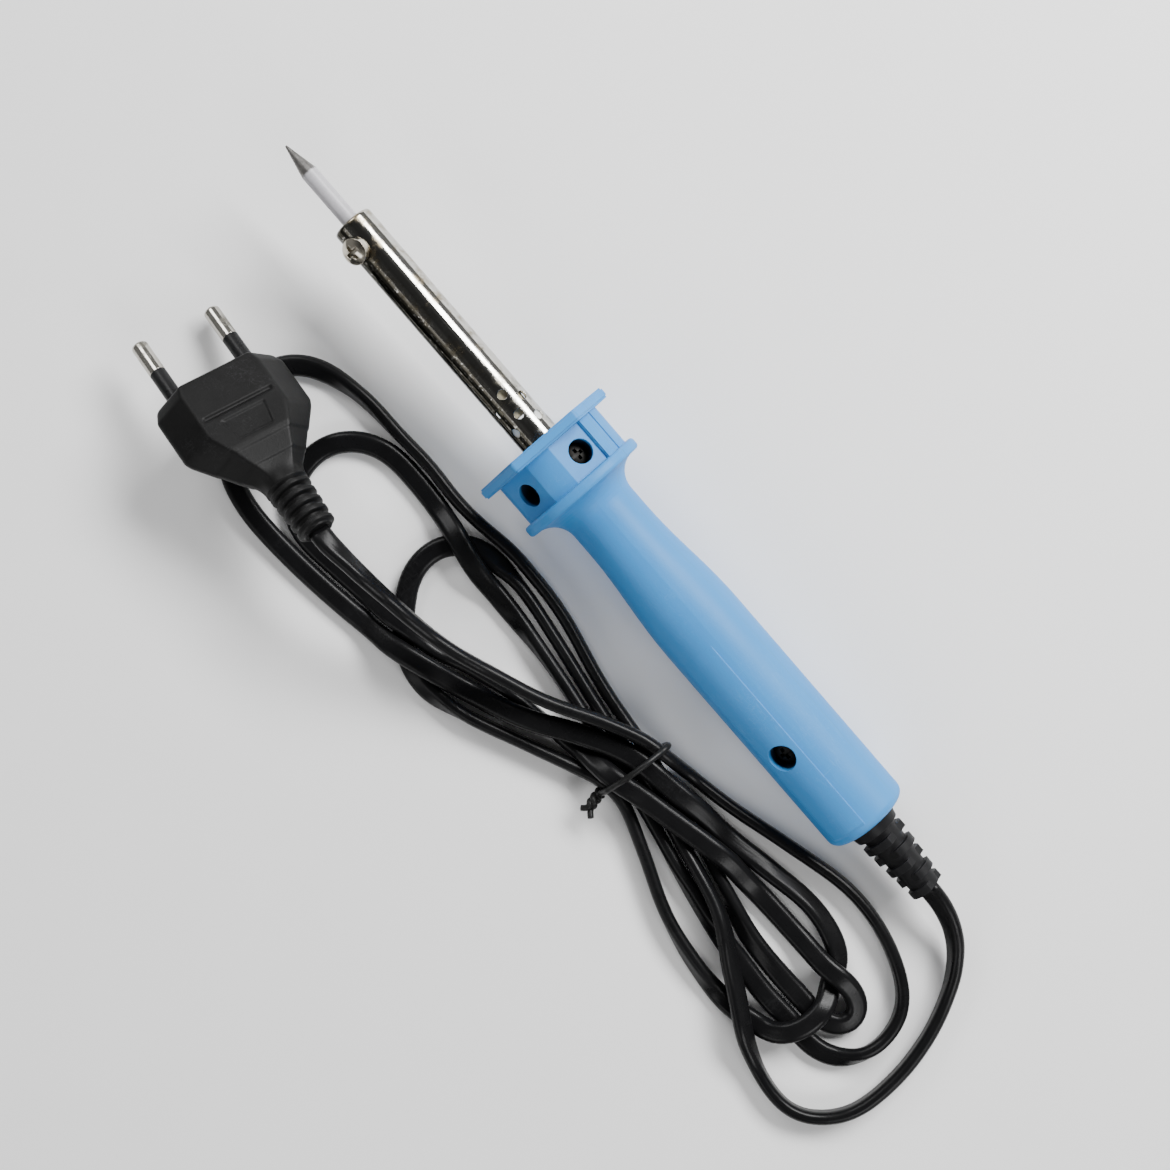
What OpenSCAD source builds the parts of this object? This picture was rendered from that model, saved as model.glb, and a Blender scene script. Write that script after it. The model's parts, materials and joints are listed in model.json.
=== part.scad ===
// Pencil soldering iron with a moulded handle, a perforated barrel and a tied mains lead.
// Millimetres. +X points to the soldering tip, +Y to the side where the lead lies, +Z up.
// The origin is under the middle of the iron, on the surface that it lies on.
// "Station" means the distance behind the point of the tip, along the iron's own axis.
// "Roll" means the angle round that axis: 0 is up and +90 is towards +Y.

/* [Soldering tip] */
// Length of the tip's cone
tip_cone_l = 8; // [4:0.5:14]
// Diameter of the tip's shank
tip_d = 4; // [3:0.1:4.6]
// Radius of the worn point
tip_point_r = 0.25; // [0.1:0.05:0.8]
// Length of shank that shows in front of the barrel
tip_reach = 14.4; // [8:0.2:24]
// Length of shank inside the barrel
tip_seat_l = 36; // [26:1:44]

/* [Barrel] */
// Outside diameter of the barrel
barrel_d = 9.8; // [9.4:0.1:11]
// Sheet thickness of the barrel
barrel_wall = 0.4; // [0.3:0.05:0.5]
// Length of barrel that shows in front of the handle
barrel_reach = 64.8; // [60:0.5:80]
// Length of barrel inside the handle
barrel_seat_l = 13; // [11:0.5:14]
// Diameter of the opening in the rolled front rim
barrel_mouth_d = 5.2; // [4.8:0.1:6]
// Diameter of the cooling holes
vent_d = 2.3; // [1.5:0.1:2.8]
// Distance between cooling holes in a row
vent_pitch = 5.7; // [4:0.1:8]
// Rows of cooling holes round the barrel
vent_rows = 8; // [4:2:8]
// Gap between the handle and the nearest cooling hole
vent_margin = 4.4; // [3:0.2:8]

/* [Tip screw] */
// Thread diameter of the screw that holds the tip
screw_d = 3; // [2.5:0.1:3.2]
// Head diameter of that screw
screw_head_d = 6.2; // [5.4:0.1:6.4]
// Head height of that screw
screw_head_h = 2.2; // [1.6:0.1:2.6]
// Distance from the barrel's front rim to the screw
screw_setback = 6.3; // [5:0.1:7]
// Roll of the screw
screw_roll = 38; // [0:1:60]
// Thickness of the lock washer under the head
washer_t = 0.5; // [0.3:0.1:0.8]

/* [Handle flanges] */
// Width across the front flange's flats
hex_flats = 31.8; // [30:0.2:35]
// Corner radius of the front flange
hex_corner_r = 1.2; // [0.6:0.1:3]
// Thickness of each flange
flange_t = 2.7; // [2:0.1:3.2]
// Distance between the two flanges
neck_l = 10.5; // [10:0.1:14]
// Diameter of the neck between the flanges
neck_d = 28.6; // [26:0.2:29]
// Diameter of the round rear flange
flange_d = 32.2; // [31:0.2:34]
// Radius of the sweep from the rear flange to the waist
sweep_r = 6; // [4:0.2:7]

/* [Grip] */
// Diameter of the waist, just behind the sweep
waist_d = 17.2; // [16.8:0.2:20]
// Diameter of the grip's widest part
grip_d = 21; // [20:0.2:24]
// Length from the rear flange to the handle's rear end
grip_l = 100; // [94:1:130]
// Radius of the handle's rear edge
rear_edge_r = 2.3; // [1:0.1:3]
// Height of the raised pad along the grip
pad_h = 0.35; // [0.2:0.05:0.6]
// Length of the raised pad
pad_l = 57; // [45:1:70]

/* [Lead] */
// Width of the flat twin lead
lead_w = 5.2; // [4.6:0.1:5.6]
// Thickness of the flat twin lead
lead_t = 3.2; // [2.8:0.1:3.4]
// Length of the strain relief outside the handle
relief_l = 21; // [18:0.5:26]
// Diameter of the strain relief at the handle
relief_base_d = 12.6; // [12:0.1:13]
// Diameter of the strain relief's last rib
relief_end_d = 8.6; // [8:0.1:10]
// Ribs of the strain relief
relief_ribs = 5; // [4:1:6]

/* [Plug] */
// Distance between the two pins
pin_pitch = 19; // [18:0.1:20]
// Diameter of a pin
pin_d = 4; // [3.8:0.1:4.2]
// Bare length of a pin
pin_bare_l = 8.8; // [8:0.1:10]
// Insulated length of a pin
pin_sleeve_l = 9; // [8:0.1:10]
// Width of the plug's body
plug_w = 33; // [31:0.2:36]
// Thickness of the plug's body
plug_t = 13.7; // [12:0.1:15]
// Length of the plug's body in front of its boot
plug_l = 32; // [31:0.5:36]
// Length of the plug's ribbed boot
boot_l = 13; // [11:0.5:16]
// Diameter of the boot's ribs
boot_d = 10.6; // [9:0.1:11]

/* [Hidden] */
round_fn = 72;

// Clearances.
run_gap = 0.06;     // a piece that slides or turns in its hole
seat_gap = 0.03;    // a piece that is pressed or clamped in place
free_gap = 0.2;     // a hole that a screw or a wire only passes through

// Stations along the iron.
s_barrel = tip_cone_l + tip_reach;
s_handle = s_barrel + barrel_reach;
s_neck = s_handle + flange_t;
s_flange2 = s_neck + neck_l;
s_sweep = s_flange2 + flange_t;
s_rear = s_sweep + grip_l;
s_relief = s_rear + relief_l;
s_screw = s_barrel + screw_setback;
s_tip_end = s_barrel + tip_seat_l;
s_barrel_end = s_handle + barrel_seat_l;

// Radii along the iron.
tip_r = tip_d / 2;
barrel_r = barrel_d / 2;
barrel_in_r = barrel_r - barrel_wall;
neck_r = neck_d / 2;
flange_r = flange_d / 2;
waist_r = waist_d / 2;
grip_r = grip_d / 2;
hex_r = hex_flats / 2 / cos(30);
flange_edge_r = 0.8;

// The iron lies on its rear flange and on the rear end of its handle.
rest_ds = s_rear - rear_edge_r - (s_sweep - flange_edge_r);
rest_dr = (flange_r - flange_edge_r) - (grip_r - rear_edge_r);
tilt = atan2(rest_dr, rest_ds)
    + asin((flange_edge_r - rear_edge_r) / norm([rest_ds, rest_dr]));
axis_z = (s_sweep - flange_edge_r) * sin(tilt)
    + (flange_r - flange_edge_r) * cos(tilt) + flange_edge_r;
point_x = (s_relief * cos(tilt) + relief_end_d / 2 * sin(tilt)) / 2;

// Places what is drawn along +Z at a station of the iron, in its resting attitude.
module iron(station = 0, roll = 0) {
    translate([point_x, 0, axis_z])
        rotate([0, -tilt, 0])
            translate([-station, 0, 0])
                rotate([0, -90, 0])
                    rotate([0, 0, roll])
                        children();
}

// Turns what is drawn along +Z so that it points outwards from the iron's axis.
module outwards(station, roll, radius = 0) {
    iron(station, roll)
        rotate([0, 90, 0])
            translate([0, 0, radius])
                children();
}

// A round tube or, with no bore, a rod.
module tube(r, bore, length) {
    difference() {
        cylinder(r = r, h = length, $fn = round_fn);
        if (bore > 0)
            translate([0, 0, -1])
                cylinder(r = bore, h = length + 2, $fn = round_fn);
    }
}

// A cylinder from one point to another.
module rod_between(a, b, r) {
    d = b - a;
    translate(a)
        rotate([0, acos(d[2] / norm(d)), atan2(d[1], d[0])])
            cylinder(r = r, h = norm(d), $fn = 32);
}

// ---- Soldering tip ----
module soldering_tip() {
    chamfer = 0.4;
    color([0.70, 0.70, 0.72])
        iron()
            rotate_extrude($fn = round_fn)
                polygon([
                    [0, 0], [tip_point_r, 0.1], [tip_r, tip_cone_l],
                    [tip_r, s_tip_end - chamfer], [tip_r - chamfer, s_tip_end],
                    [0, s_tip_end]]);
}

// ---- Tip screw, its lock washer and the bush it threads into ----
washer_r = screw_head_d / 2 - 0.3;
washer_base = barrel_r + seat_gap;
head_base = washer_base + washer_t + seat_gap;

module cross_recess(length, width, depth) {
    for (turn = [0, 90])
        rotate([0, 0, turn])
            translate([-length / 2, -width / 2, -depth])
                cube([length, width, depth + 1]);
}

// A pan head with its underside at z = 0.
module pan_head(d, h) {
    dome = 0.4 * h;
    dome_r = (d * d / 4 + dome * dome) / (2 * dome);
    difference() {
        intersection() {
            cylinder(d = d, h = h, $fn = round_fn);
            translate([0, 0, h - dome_r])
                sphere(r = dome_r, $fn = round_fn);
        }
        translate([0, 0, h])
            cross_recess(0.55 * d, 0.16 * d, 0.6 * h);
    }
}

module tip_screw() {
    shank_l = head_base - tip_r - run_gap;
    color([0.78, 0.78, 0.76])
        outwards(s_screw, screw_roll, head_base) {
            pan_head(screw_head_d, screw_head_h);
            translate([0, 0, -shank_l])
                cylinder(d = screw_d, h = shank_l + 0.1, $fn = round_fn);
        }
}

module tip_washer() {
    color([0.60, 0.60, 0.60])
        outwards(s_screw, screw_roll, washer_base)
            tube(washer_r, screw_d / 2 + run_gap, washer_t);
}

rim_t = 0.9;
bush_start = s_barrel + rim_t + seat_gap;
bush_l = 11;

module tip_bush() {
    color([0.65, 0.63, 0.58])
        difference() {
            iron(bush_start)
                tube(barrel_in_r - seat_gap, tip_r + run_gap, bush_l);
            outwards(s_screw, screw_roll)
                cylinder(r = screw_d / 2 + run_gap, h = barrel_r, $fn = round_fn);
        }
}

// ---- Barrel ----
s_last_vent = s_handle - vent_margin;

module barrel() {
    lip_r = 0.8;
    color([0.82, 0.82, 0.82])
        difference() {
            iron()
                rotate_extrude($fn = round_fn)
                    difference() {
                        union() {
                            translate([0, s_barrel + lip_r])
                                square([barrel_r, s_barrel_end - s_barrel - lip_r]);
                            translate([0, s_barrel])
                                square([barrel_r - lip_r, lip_r + 1]);
                            translate([barrel_r - lip_r, s_barrel + lip_r])
                                circle(r = lip_r, $fn = round_fn);
                        }
                        translate([0, s_barrel + rim_t])
                            square([barrel_in_r, s_barrel_end]);
                        translate([0, s_barrel - 1])
                            square([barrel_mouth_d / 2, rim_t + 2]);
                    }
            outwards(s_screw, screw_roll)
                cylinder(r = screw_d / 2 + free_gap, h = barrel_d, $fn = round_fn);
            for (row = [0 : vent_rows - 1])
                for (hole = [0 : 1])
                    outwards(s_last_vent - vent_pitch * (hole + (row % 2 == 0 ? 0.5 : 0)),
                             row * 360 / vent_rows)
                        cylinder(d = vent_d, h = barrel_d, $fn = 32);
        }
}

// ---- Heating element ----
core_start = bush_start + bush_l + seat_gap;
spacer_l = 2;
element_start = core_start + spacer_l + seat_gap;
element_l = 44;
core_in_r = tip_r + 0.15;
core_wall = 0.35;
core_r = core_in_r + core_wall;
mica_t = 0.25;
wire_d = 0.5;
coil_in_r = core_r + seat_gap + mica_t + seat_gap;
coil_r = coil_in_r + wire_d;
wrap_in_r = coil_r + seat_gap;
wrap_r = wrap_in_r + mica_t;
coil_pitch = 1.4;
coil_turns = 28;
coil_start = element_start + 2;
lead_r = coil_in_r + wire_d / 2;    // distance of each heater lead from the axis

module core_tube() {
    color([0.62, 0.60, 0.57])
        iron(core_start)
            tube(core_r, core_in_r, spacer_l + element_l);
}

module front_spacer() {
    color([0.93, 0.91, 0.85])
        iron(core_start)
            tube(barrel_in_r - seat_gap, core_r + seat_gap, spacer_l);
}

module inner_mica() {
    color([0.80, 0.74, 0.58])
        iron(element_start)
            tube(core_r + seat_gap + mica_t, core_r + seat_gap, element_l);
}

// The winding: each turn stands out of a thin backing as half a wire.
module heating_coil() {
    backing = wire_d / 4;
    steps = 4;
    crest = [for (turn = [0 : coil_turns - 1]) for (i = [0 : steps])
        [coil_in_r + backing + (wire_d - backing) * sin(180 * i / steps),
         coil_pitch * turn + coil_pitch * 0.8 * i / steps]];
    coil_l = coil_pitch * coil_turns;
    color([0.45, 0.40, 0.38])
        iron(coil_start)
            rotate_extrude($fn = round_fn)
                polygon(concat(
                    [[coil_in_r, 0]], crest,
                    [[coil_in_r + backing, coil_l], [coil_in_r, coil_l]]));
}

module outer_mica() {
    color([0.80, 0.74, 0.58])
        iron(element_start)
            tube(wrap_r, wrap_in_r, element_l);
}

insulator_start = element_start + element_l + 1;
insulator_l = 6;
heater_wire_d = 0.44;

module rear_insulator() {
    color([0.93, 0.91, 0.85])
        iron(insulator_start)
            difference() {
                cylinder(r = barrel_in_r - seat_gap, h = insulator_l, $fn = round_fn);
                for (side = [-1, 1])
                    translate([0, side * lead_r, -1])
                        cylinder(d = heater_wire_d + free_gap, h = insulator_l + 2, $fn = 32);
            }
}

// ---- Wires inside the handle ----
crimp_start = s_sweep + 14;
crimp_l = 9;
crimp_r = 1.5;
crimp_bore_r = 1.05;
sleeve_start = insulator_start + insulator_l + seat_gap;
core_end = s_rear - 52;
lead_roll = 35;         // roll of the lead's flat side, and of the screw that clamps it

module heater_lead(side) {
    start = coil_start + coil_pitch * coil_turns + seat_gap;
    color([0.70, 0.68, 0.62])
        iron(start)
            translate([0, side * lead_r, 0])
                cylinder(d = heater_wire_d, h = crimp_start + 3 - start, $fn = 32);
}

module lead_sleeve(side) {
    color([0.92, 0.90, 0.82])
        iron(sleeve_start)
            translate([0, side * lead_r, 0])
                tube(0.9, heater_wire_d / 2 + 0.08, crimp_start - sleeve_start - seat_gap);
}

module crimp(side) {
    color([0.80, 0.78, 0.70])
        iron(crimp_start)
            translate([0, side * lead_r, 0])
                tube(crimp_r, crimp_bore_r, crimp_l);
}

// Each insulated core runs from its crimp to its side of the flat lead.
module mains_core(side) {
    core_r_out = 0.85;
    spread = lead_w / 4;
    from = [0, side * lead_r, crimp_start + crimp_l - 2];
    to = [-side * spread * sin(lead_roll), side * spread * cos(lead_roll), core_end - seat_gap];
    color(side > 0 ? [0.36, 0.20, 0.12] : [0.12, 0.25, 0.55])
        iron()
            rod_between(from, to, core_r_out);
}

// ---- Collar that holds the barrel, and its screws ----
collar_r = 7;
collar_start = s_neck + 0.8;
collar_l = 8.6;
collar_screw_d = 3;
collar_head_d = 5.2;
collar_head_h = 1.8;
well_d = 5.8;
well_floor_r = 9;
s_well = s_neck + neck_l / 2 + 0.2;
window_rolls = [-21, 51, 159, -129];
collar_screw_rolls = [window_rolls[0], window_rolls[2]];

module barrel_collar() {
    color([0.62, 0.62, 0.62])
        difference() {
            iron(collar_start)
                tube(collar_r, barrel_r + seat_gap, collar_l);
            for (roll = collar_screw_rolls)
                outwards(s_well, roll)
                    cylinder(d = collar_screw_d + 2 * run_gap, h = 2 * collar_r, $fn = round_fn);
        }
}

module collar_screw(roll) {
    shank_l = well_floor_r - barrel_r - 2 * seat_gap;
    color([0.55, 0.55, 0.55])
        outwards(s_well, roll, well_floor_r + seat_gap) {
            pan_head(collar_head_d, collar_head_h);
            translate([0, 0, -shank_l])
                cylinder(d = collar_screw_d, h = shank_l + 0.1, $fn = round_fn);
        }
}

// ---- Handle ----
bore_r = collar_r + seat_gap;
waist_bore_r = waist_r - 2;
grip_bore_r = grip_r - 2.8;
s_grip_bore = s_sweep + 44;
rear_wall = 2.2;
rear_hole_r = relief_base_d / 2 + 0.12;
s_clamp = s_rear - 25.6;
s_pad = s_rear - 1.2 - pad_l;
clamp_well_d = 6.6;
clamp_floor_r = 6.4;
anvil_w = 7;
anvil_l = 9;

// Where the grip stops widening, and how far it has widened at a share of the way.
s_waist_end = s_sweep + sweep_r + 5;
s_grip_full = s_waist_end + 30;
function ease(share) = (1 - cos(180 * share)) / 2;

// Outline of the handle behind the neck, as [radius, station].
grip_line = concat(
    [for (a = [0 : 10 : 90])
        [waist_r + sweep_r * (1 - sin(a)), s_sweep + sweep_r * (1 - cos(a))]],
    [for (i = [0 : 8])
        [waist_r + (grip_r - waist_r) * ease(i / 8),
         s_waist_end + (s_grip_full - s_waist_end) * i / 8]]);

module rounded_edge_profile(r_out, from, to, edge) {
    translate([0, from])
        square([r_out - edge, to - from]);
    translate([0, from + edge])
        square([r_out, to - from - 2 * edge]);
    for (end = [from + edge, to - edge])
        translate([r_out - edge, end])
            circle(r = edge, $fn = 32);
}

module hex_flange() {
    corner_to = hex_r - hex_corner_r / cos(30);
    edge = 0.5;
    // Three slabs of the hexagon, thinner at the rims, leave a softened edge all round.
    for (layer = [[0, edge], [edge, 0], [flange_t - edge, edge]])
        translate([0, 0, layer[0]])
            linear_extrude(layer[0] == edge ? flange_t - 2 * edge : edge)
                hex_outline(corner_to, hex_corner_r, layer[1] == 0 ? 0 : 0.35);
}

// A hexagon with flats at roll 0 and round corners, drawn smaller by an inset.
module hex_outline(corner_to, corner_r, inset) {
    r = corner_r - inset;
    flat = corner_to * cos(30);
    half = corner_to / 2;
    for (turn = [0 : 60 : 300])
        rotate([0, 0, turn])
            translate([0, -half])
                square([flat + r, corner_to]);
    for (turn = [30 : 60 : 330])
        rotate([0, 0, turn])
            translate([corner_to, 0])
                circle(r = r, $fn = 48);
}

// A sector of a turned band between two rolls.
module band(from_roll, to_roll, reach) {
    middle = (from_roll + to_roll) / 2;
    spread = (to_roll - from_roll) / 2;
    intersection() {
        children();
        rotate([0, 0, middle])
            translate([0, 0, -1])
                linear_extrude(s_rear + 2)
                    polygon([[0, 0],
                        [reach, -reach * tan(spread)], [reach, reach * tan(spread)]]);
    }
}

module handle_outside() {
    rim_rise = 0.35;
    iron(s_handle)
        hex_flange();
    iron(s_neck - 0.1)
        cylinder(r = neck_r, h = neck_l + 0.2, $fn = round_fn);
    // The seam ribs run between the flanges on both sides of the neck.
    for (roll = [-54, 126])
        for (rib = [-1, 1])
            iron()
                band(roll + rib * 9 - 7.5, roll + rib * 9 + 7.5, 40)
                    translate([0, 0, s_neck - 0.1])
                        cylinder(r = neck_r + rim_rise, h = neck_l + 0.2, $fn = round_fn);
    iron()
        rotate_extrude($fn = round_fn) {
            rounded_edge_profile(flange_r, s_flange2, s_sweep, flange_edge_r);
            polygon(concat([[0, s_sweep - 0.5]], [[waist_r + sweep_r, s_sweep - 0.5]],
                grip_line,
                [[grip_r, s_rear - rear_edge_r], [grip_r - rear_edge_r, s_rear - rear_edge_r],
                 [grip_r - rear_edge_r, s_rear], [0, s_rear]]));
            translate([grip_r - rear_edge_r, s_rear - rear_edge_r])
                circle(r = rear_edge_r, $fn = round_fn);
        }
    // The raised pad fades in at its front end.
    iron()
        band(9, 61, 40)
            rotate_extrude($fn = round_fn)
                polygon([
                    [0, s_pad], [grip_r - 0.3, s_pad], [grip_r + pad_h, s_pad + 5],
                    [grip_r + pad_h, s_rear - rear_edge_r - 0.6],
                    [grip_r - 0.3, s_rear - rear_edge_r + 0.6],
                    [0, s_rear - rear_edge_r + 0.6]]);
}

module handle() {
    flat_depth = 1.1;
    flat_half = 5.6;
    flat_short = 3.9;       // where a flat meets the wall of a seam rib
    color([0.46, 0.68, 0.83])
        difference() {
            handle_outside();
            // Flats round the windows of the neck, each stopping short of its rib.
            for (i = [0 : 3]) {
                low = i % 2 == 0 ? flat_short : flat_half;
                outwards(s_neck + neck_l / 2, window_rolls[i], neck_r - flat_depth)
                    translate([-neck_l / 2 + 0.05, -low, 0])
                        cube([neck_l - 0.1, low + flat_half, 4]);
            }
            for (roll = window_rolls)
                outwards(s_well, roll, well_floor_r)
                    cylinder(d = well_d, h = neck_r, $fn = round_fn);
            for (roll = window_rolls)
                outwards(s_well, roll)
                    cylinder(d = collar_screw_d + free_gap, h = neck_r, $fn = round_fn);
            // The bore, from the barrel to the rear wall.
            iron(s_handle - 1)
                cylinder(r = bore_r, h = collar_start + collar_l + 1 - s_handle + 1,
                         $fn = round_fn);
            iron(s_neck)
                cylinder(r = waist_bore_r, h = s_grip_bore - s_neck + 1, $fn = round_fn);
            iron(s_grip_bore)
                difference() {
                    cylinder(r = grip_bore_r, h = s_rear - rear_wall - s_grip_bore,
                             $fn = round_fn);
                    clamp_boss_and_anvil();
                }
            iron(s_rear - rear_wall - 1)
                cylinder(r = rear_hole_r, h = rear_wall + 2, $fn = round_fn);
            // The well and the pilot hole of the clamp screw.
            outwards(s_clamp, lead_roll, clamp_floor_r)
                cylinder(d = clamp_well_d, h = grip_r, $fn = round_fn);
            outwards(s_clamp, lead_roll, lead_t / 2 + 1)
                cylinder(d = screw_d + free_gap, h = grip_r, $fn = round_fn);
        }
}

// Inside the grip: the boss under the clamp screw, and the block that the lead lies on.
module clamp_boss_and_anvil() {
    at = s_clamp - s_grip_bore;
    rotate([0, 0, lead_roll]) {
        translate([clamp_floor_r - 1.6, -4.5, at - 4.5])
            cube([grip_bore_r, 9, 9]);
        translate([-grip_bore_r - 1, -anvil_w / 2, at - anvil_l / 2])
            cube([grip_bore_r + 1 - lead_t / 2 - seat_gap, anvil_w, anvil_l]);
    }
}

// ---- Lead clamp ----
clamp_t = 1.6;
clamp_r = lead_t / 2 + seat_gap;

module lead_clamp() {
    color([0.85, 0.84, 0.78])
        outwards(s_clamp, lead_roll, clamp_r)
            translate([-4, -3.2, 0])
                cube([8, 6.4, clamp_t]);
}

module clamp_screw() {
    shank_l = clamp_floor_r - clamp_r - clamp_t;
    color([0.60, 0.60, 0.58])
        outwards(s_clamp, lead_roll, clamp_floor_r + seat_gap) {
            pan_head(5.6, 2);
            translate([0, 0, -shank_l])
                cylinder(d = screw_d, h = shank_l + 0.1, $fn = round_fn);
        }
}

// ---- Lead inside the handle, and the strain relief ----
module flat_lead_outline(grow) {
    r = lead_t / 2 + grow;
    apart = lead_w - lead_t;
    translate([-r, -apart / 2])
        square([2 * r, apart]);
    for (side = [-1, 1])
        translate([0, side * apart / 2])
            circle(r = r, $fn = 48);
}

module inner_lead() {
    color([0.10, 0.10, 0.11])
        iron(core_end, lead_roll)
            linear_extrude(s_relief - core_end)
                flat_lead_outline(0);
}

relief_flange_l = 2.5;
relief_flange_r = grip_bore_r - 0.3;

module strain_relief() {
    neck_of_relief = rear_hole_r - seat_gap;
    inside_end = s_rear - rear_wall - seat_gap;
    base_l = 3;
    rib_pitch = (relief_l - base_l) / relief_ribs;
    base_r = relief_base_d / 2;
    end_r = relief_end_d / 2;
    core_base_r = 4.6;
    core_tip_r = 3.4;
    color([0.11, 0.11, 0.12])
        difference() {
            iron() {
                translate([0, 0, inside_end - relief_flange_l])
                    cylinder(r = relief_flange_r, h = relief_flange_l, $fn = round_fn);
                translate([0, 0, inside_end - 0.1])
                    cylinder(r = neck_of_relief, h = rear_wall + 0.2, $fn = round_fn);
                translate([0, 0, s_rear - 0.2])
                    cylinder(r1 = base_r, r2 = base_r - 0.7, h = base_l + 0.2, $fn = round_fn);
                translate([0, 0, s_rear])
                    cylinder(r1 = core_base_r, r2 = core_tip_r, h = relief_l, $fn = round_fn);
                for (i = [1 : relief_ribs])
                    translate([0, 0, s_rear + base_l + rib_pitch * i - 1.9])
                        relief_rib(base_r - 0.4 + (end_r - base_r + 0.4) * i / relief_ribs, i);
            }
            iron(inside_end - relief_flange_l - 1, lead_roll)
                linear_extrude(relief_l + 20)
                    flat_lead_outline(0.05);
        }
}

// A rib is a disc with two flats, turned a quarter from the rib before it.
module relief_rib(r, index) {
    notch = 0.74 * r;
    intersection() {
        cylinder(r = r, h = 1.9, $fn = round_fn);
        rotate([0, 0, 90 * index + 45])
            translate([-notch, -r, 0])
                cube([2 * notch, 2 * r, 1.9]);
    }
}

// ---- Plug ----
plug_at = [84, 48, 12.4];   // middle of the face that the pins stand on
plug_heading = -4;      // degrees that the pins point towards +Y
plug_pitch = 17;        // degrees that the pins point down
plug_roll = 21;         // degrees that the plug's +Y edge is raised

// Places what is drawn in the plug's own frame: +X out along the pins, +Z its upper face.
module in_plug() {
    translate(plug_at)
        rotate([0, 0, plug_heading])
            rotate([0, plug_pitch, 0])
                rotate([plug_roll, 0, 0])
                    children();
}

module plug_pin(side) {
    pin_r = pin_d / 2;
    round_end = 0.8;
    inside = 12;
    full = pin_sleeve_l + pin_bare_l;
    color([0.78, 0.76, 0.72])
        in_plug()
            translate([-inside, side * pin_pitch / 2, 0])
                rotate([0, 90, 0])
                    rotate_extrude($fn = round_fn) {
                        square([pin_r - 0.3, inside + pin_sleeve_l + 1]);
                        translate([0, inside + pin_sleeve_l])
                            square([pin_r, pin_bare_l - round_end]);
                        translate([0, inside + full - round_end - 0.1])
                            square([pin_r - round_end, round_end + 0.1]);
                        translate([pin_r - round_end, inside + full - round_end])
                            circle(r = round_end, $fn = 32);
                    }
}

module pin_sleeve(side) {
    color([0.12, 0.12, 0.13])
        in_plug()
            translate([0.02, side * pin_pitch / 2, 0])
                rotate([0, 90, 0])
                    tube(pin_d / 2 - 0.02, pin_d / 2 - 0.3 + seat_gap, pin_sleeve_l - 0.04);
}

module plug_body() {
    half = plug_w / 2;
    shoulder = 15;          // distance behind the face where the sides start to close in
    tail = boot_d / 2;
    bevel = 0.4 * half;
    edge = 0.5;             // half height of the side edges
    thin_from = 20;         // distance behind the face where the body starts to thin
    color([0.16, 0.16, 0.17])
        in_plug()
            difference() {
                union() {
                    intersection() {
                        translate([0, 0, -plug_t / 2])
                            linear_extrude(plug_t)
                                polygon([
                                    [0, -half + 2], [0, half - 2], [-3, half], [-shoulder, half],
                                    [-shoulder - 6, half - 4.5], [-plug_l + 4, tail + 1.7],
                                    [-plug_l, tail], [-plug_l - 1, tail - 0.4],
                                    [-plug_l - 1, -tail + 0.4], [-plug_l, -tail],
                                    [-plug_l + 4, -tail - 1.7], [-shoulder - 6, -half + 4.5],
                                    [-shoulder, -half], [-3, -half]]);
                        rotate([90, 0, -90])
                            translate([0, 0, -1])
                                linear_extrude(plug_l + 4)
                                    polygon([
                                        [-half + bevel, plug_t / 2], [half - bevel, plug_t / 2],
                                        [half, edge], [half, -edge],
                                        [half - bevel, -plug_t / 2], [-half + bevel, -plug_t / 2],
                                        [-half, -edge], [-half, edge]]);
                        // The body thins towards the boot.
                        rotate([90, 0, 0])
                            translate([0, 0, -half - 1])
                                linear_extrude(plug_w + 2)
                                    polygon([
                                        [1, plug_t / 2], [-thin_from, plug_t / 2],
                                        [-plug_l - 2, boot_d / 2 - 0.2],
                                        [-plug_l - 2, -boot_d / 2 + 0.2],
                                        [-thin_from, -plug_t / 2], [1, -plug_t / 2]]);
                    }
                    translate([-plug_l, 0, 0])
                        rotate([0, -90, 0])
                            boot();
                }
                for (face = [0, 180])
                    rotate([face, 0, 0])
                        translate([0, 0, plug_t / 2])
                            face_details();
                for (side = [-1, 1])
                    translate([-12.1, side * pin_pitch / 2, 0])
                        rotate([0, 90, 0])
                            cylinder(r = pin_d / 2 - 0.3 + seat_gap, h = 14, $fn = round_fn);
            }
}

// The groove and the recessed panel of a broad face, to be cut from it.
module face_details() {
    groove_at = 11;
    groove_l = 17.5;
    translate([-groove_at, groove_l / 2, 0])
        rotate([90, 0, 0])
            cylinder(r = 0.45, h = groove_l, $fn = 24);
    translate([0, 0, -0.35])
        linear_extrude(1)
            polygon([[-13, -5.5], [-13, 5.5], [-19, 4.25], [-19, -4.25]]);
}

// The boot: a round core with ribs, drawn along +Z.
module boot() {
    ribs = 5;
    pitch = boot_l / ribs;
    rib_t = 1.5;
    cylinder(d1 = boot_d - 2, d2 = boot_d - 3.2, h = boot_l, $fn = round_fn);
    for (i = [1 : ribs])
        translate([0, 0, pitch * i - rib_t])
            cylinder(d = boot_d - 0.12 * i, h = rib_t, $fn = round_fn);
}

// ---- Lead outside the handle and the plug ----
// Points of a route are [x, y, z, roll]: at roll 0 the lead lies flat, at 90 it stands on edge.
relief_axis = [cos(tilt), 0, sin(tilt)];
relief_end = [point_x, 0, axis_z] - s_relief * relief_axis;
boot_back = [-cos(plug_heading) * cos(plug_pitch), -sin(plug_heading) * cos(plug_pitch),
             sin(plug_pitch)];
boot_end = plug_at + (plug_l + boot_l) * boot_back;

function waypoint(p, roll) = [p[0], p[1], p[2], roll];

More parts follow.
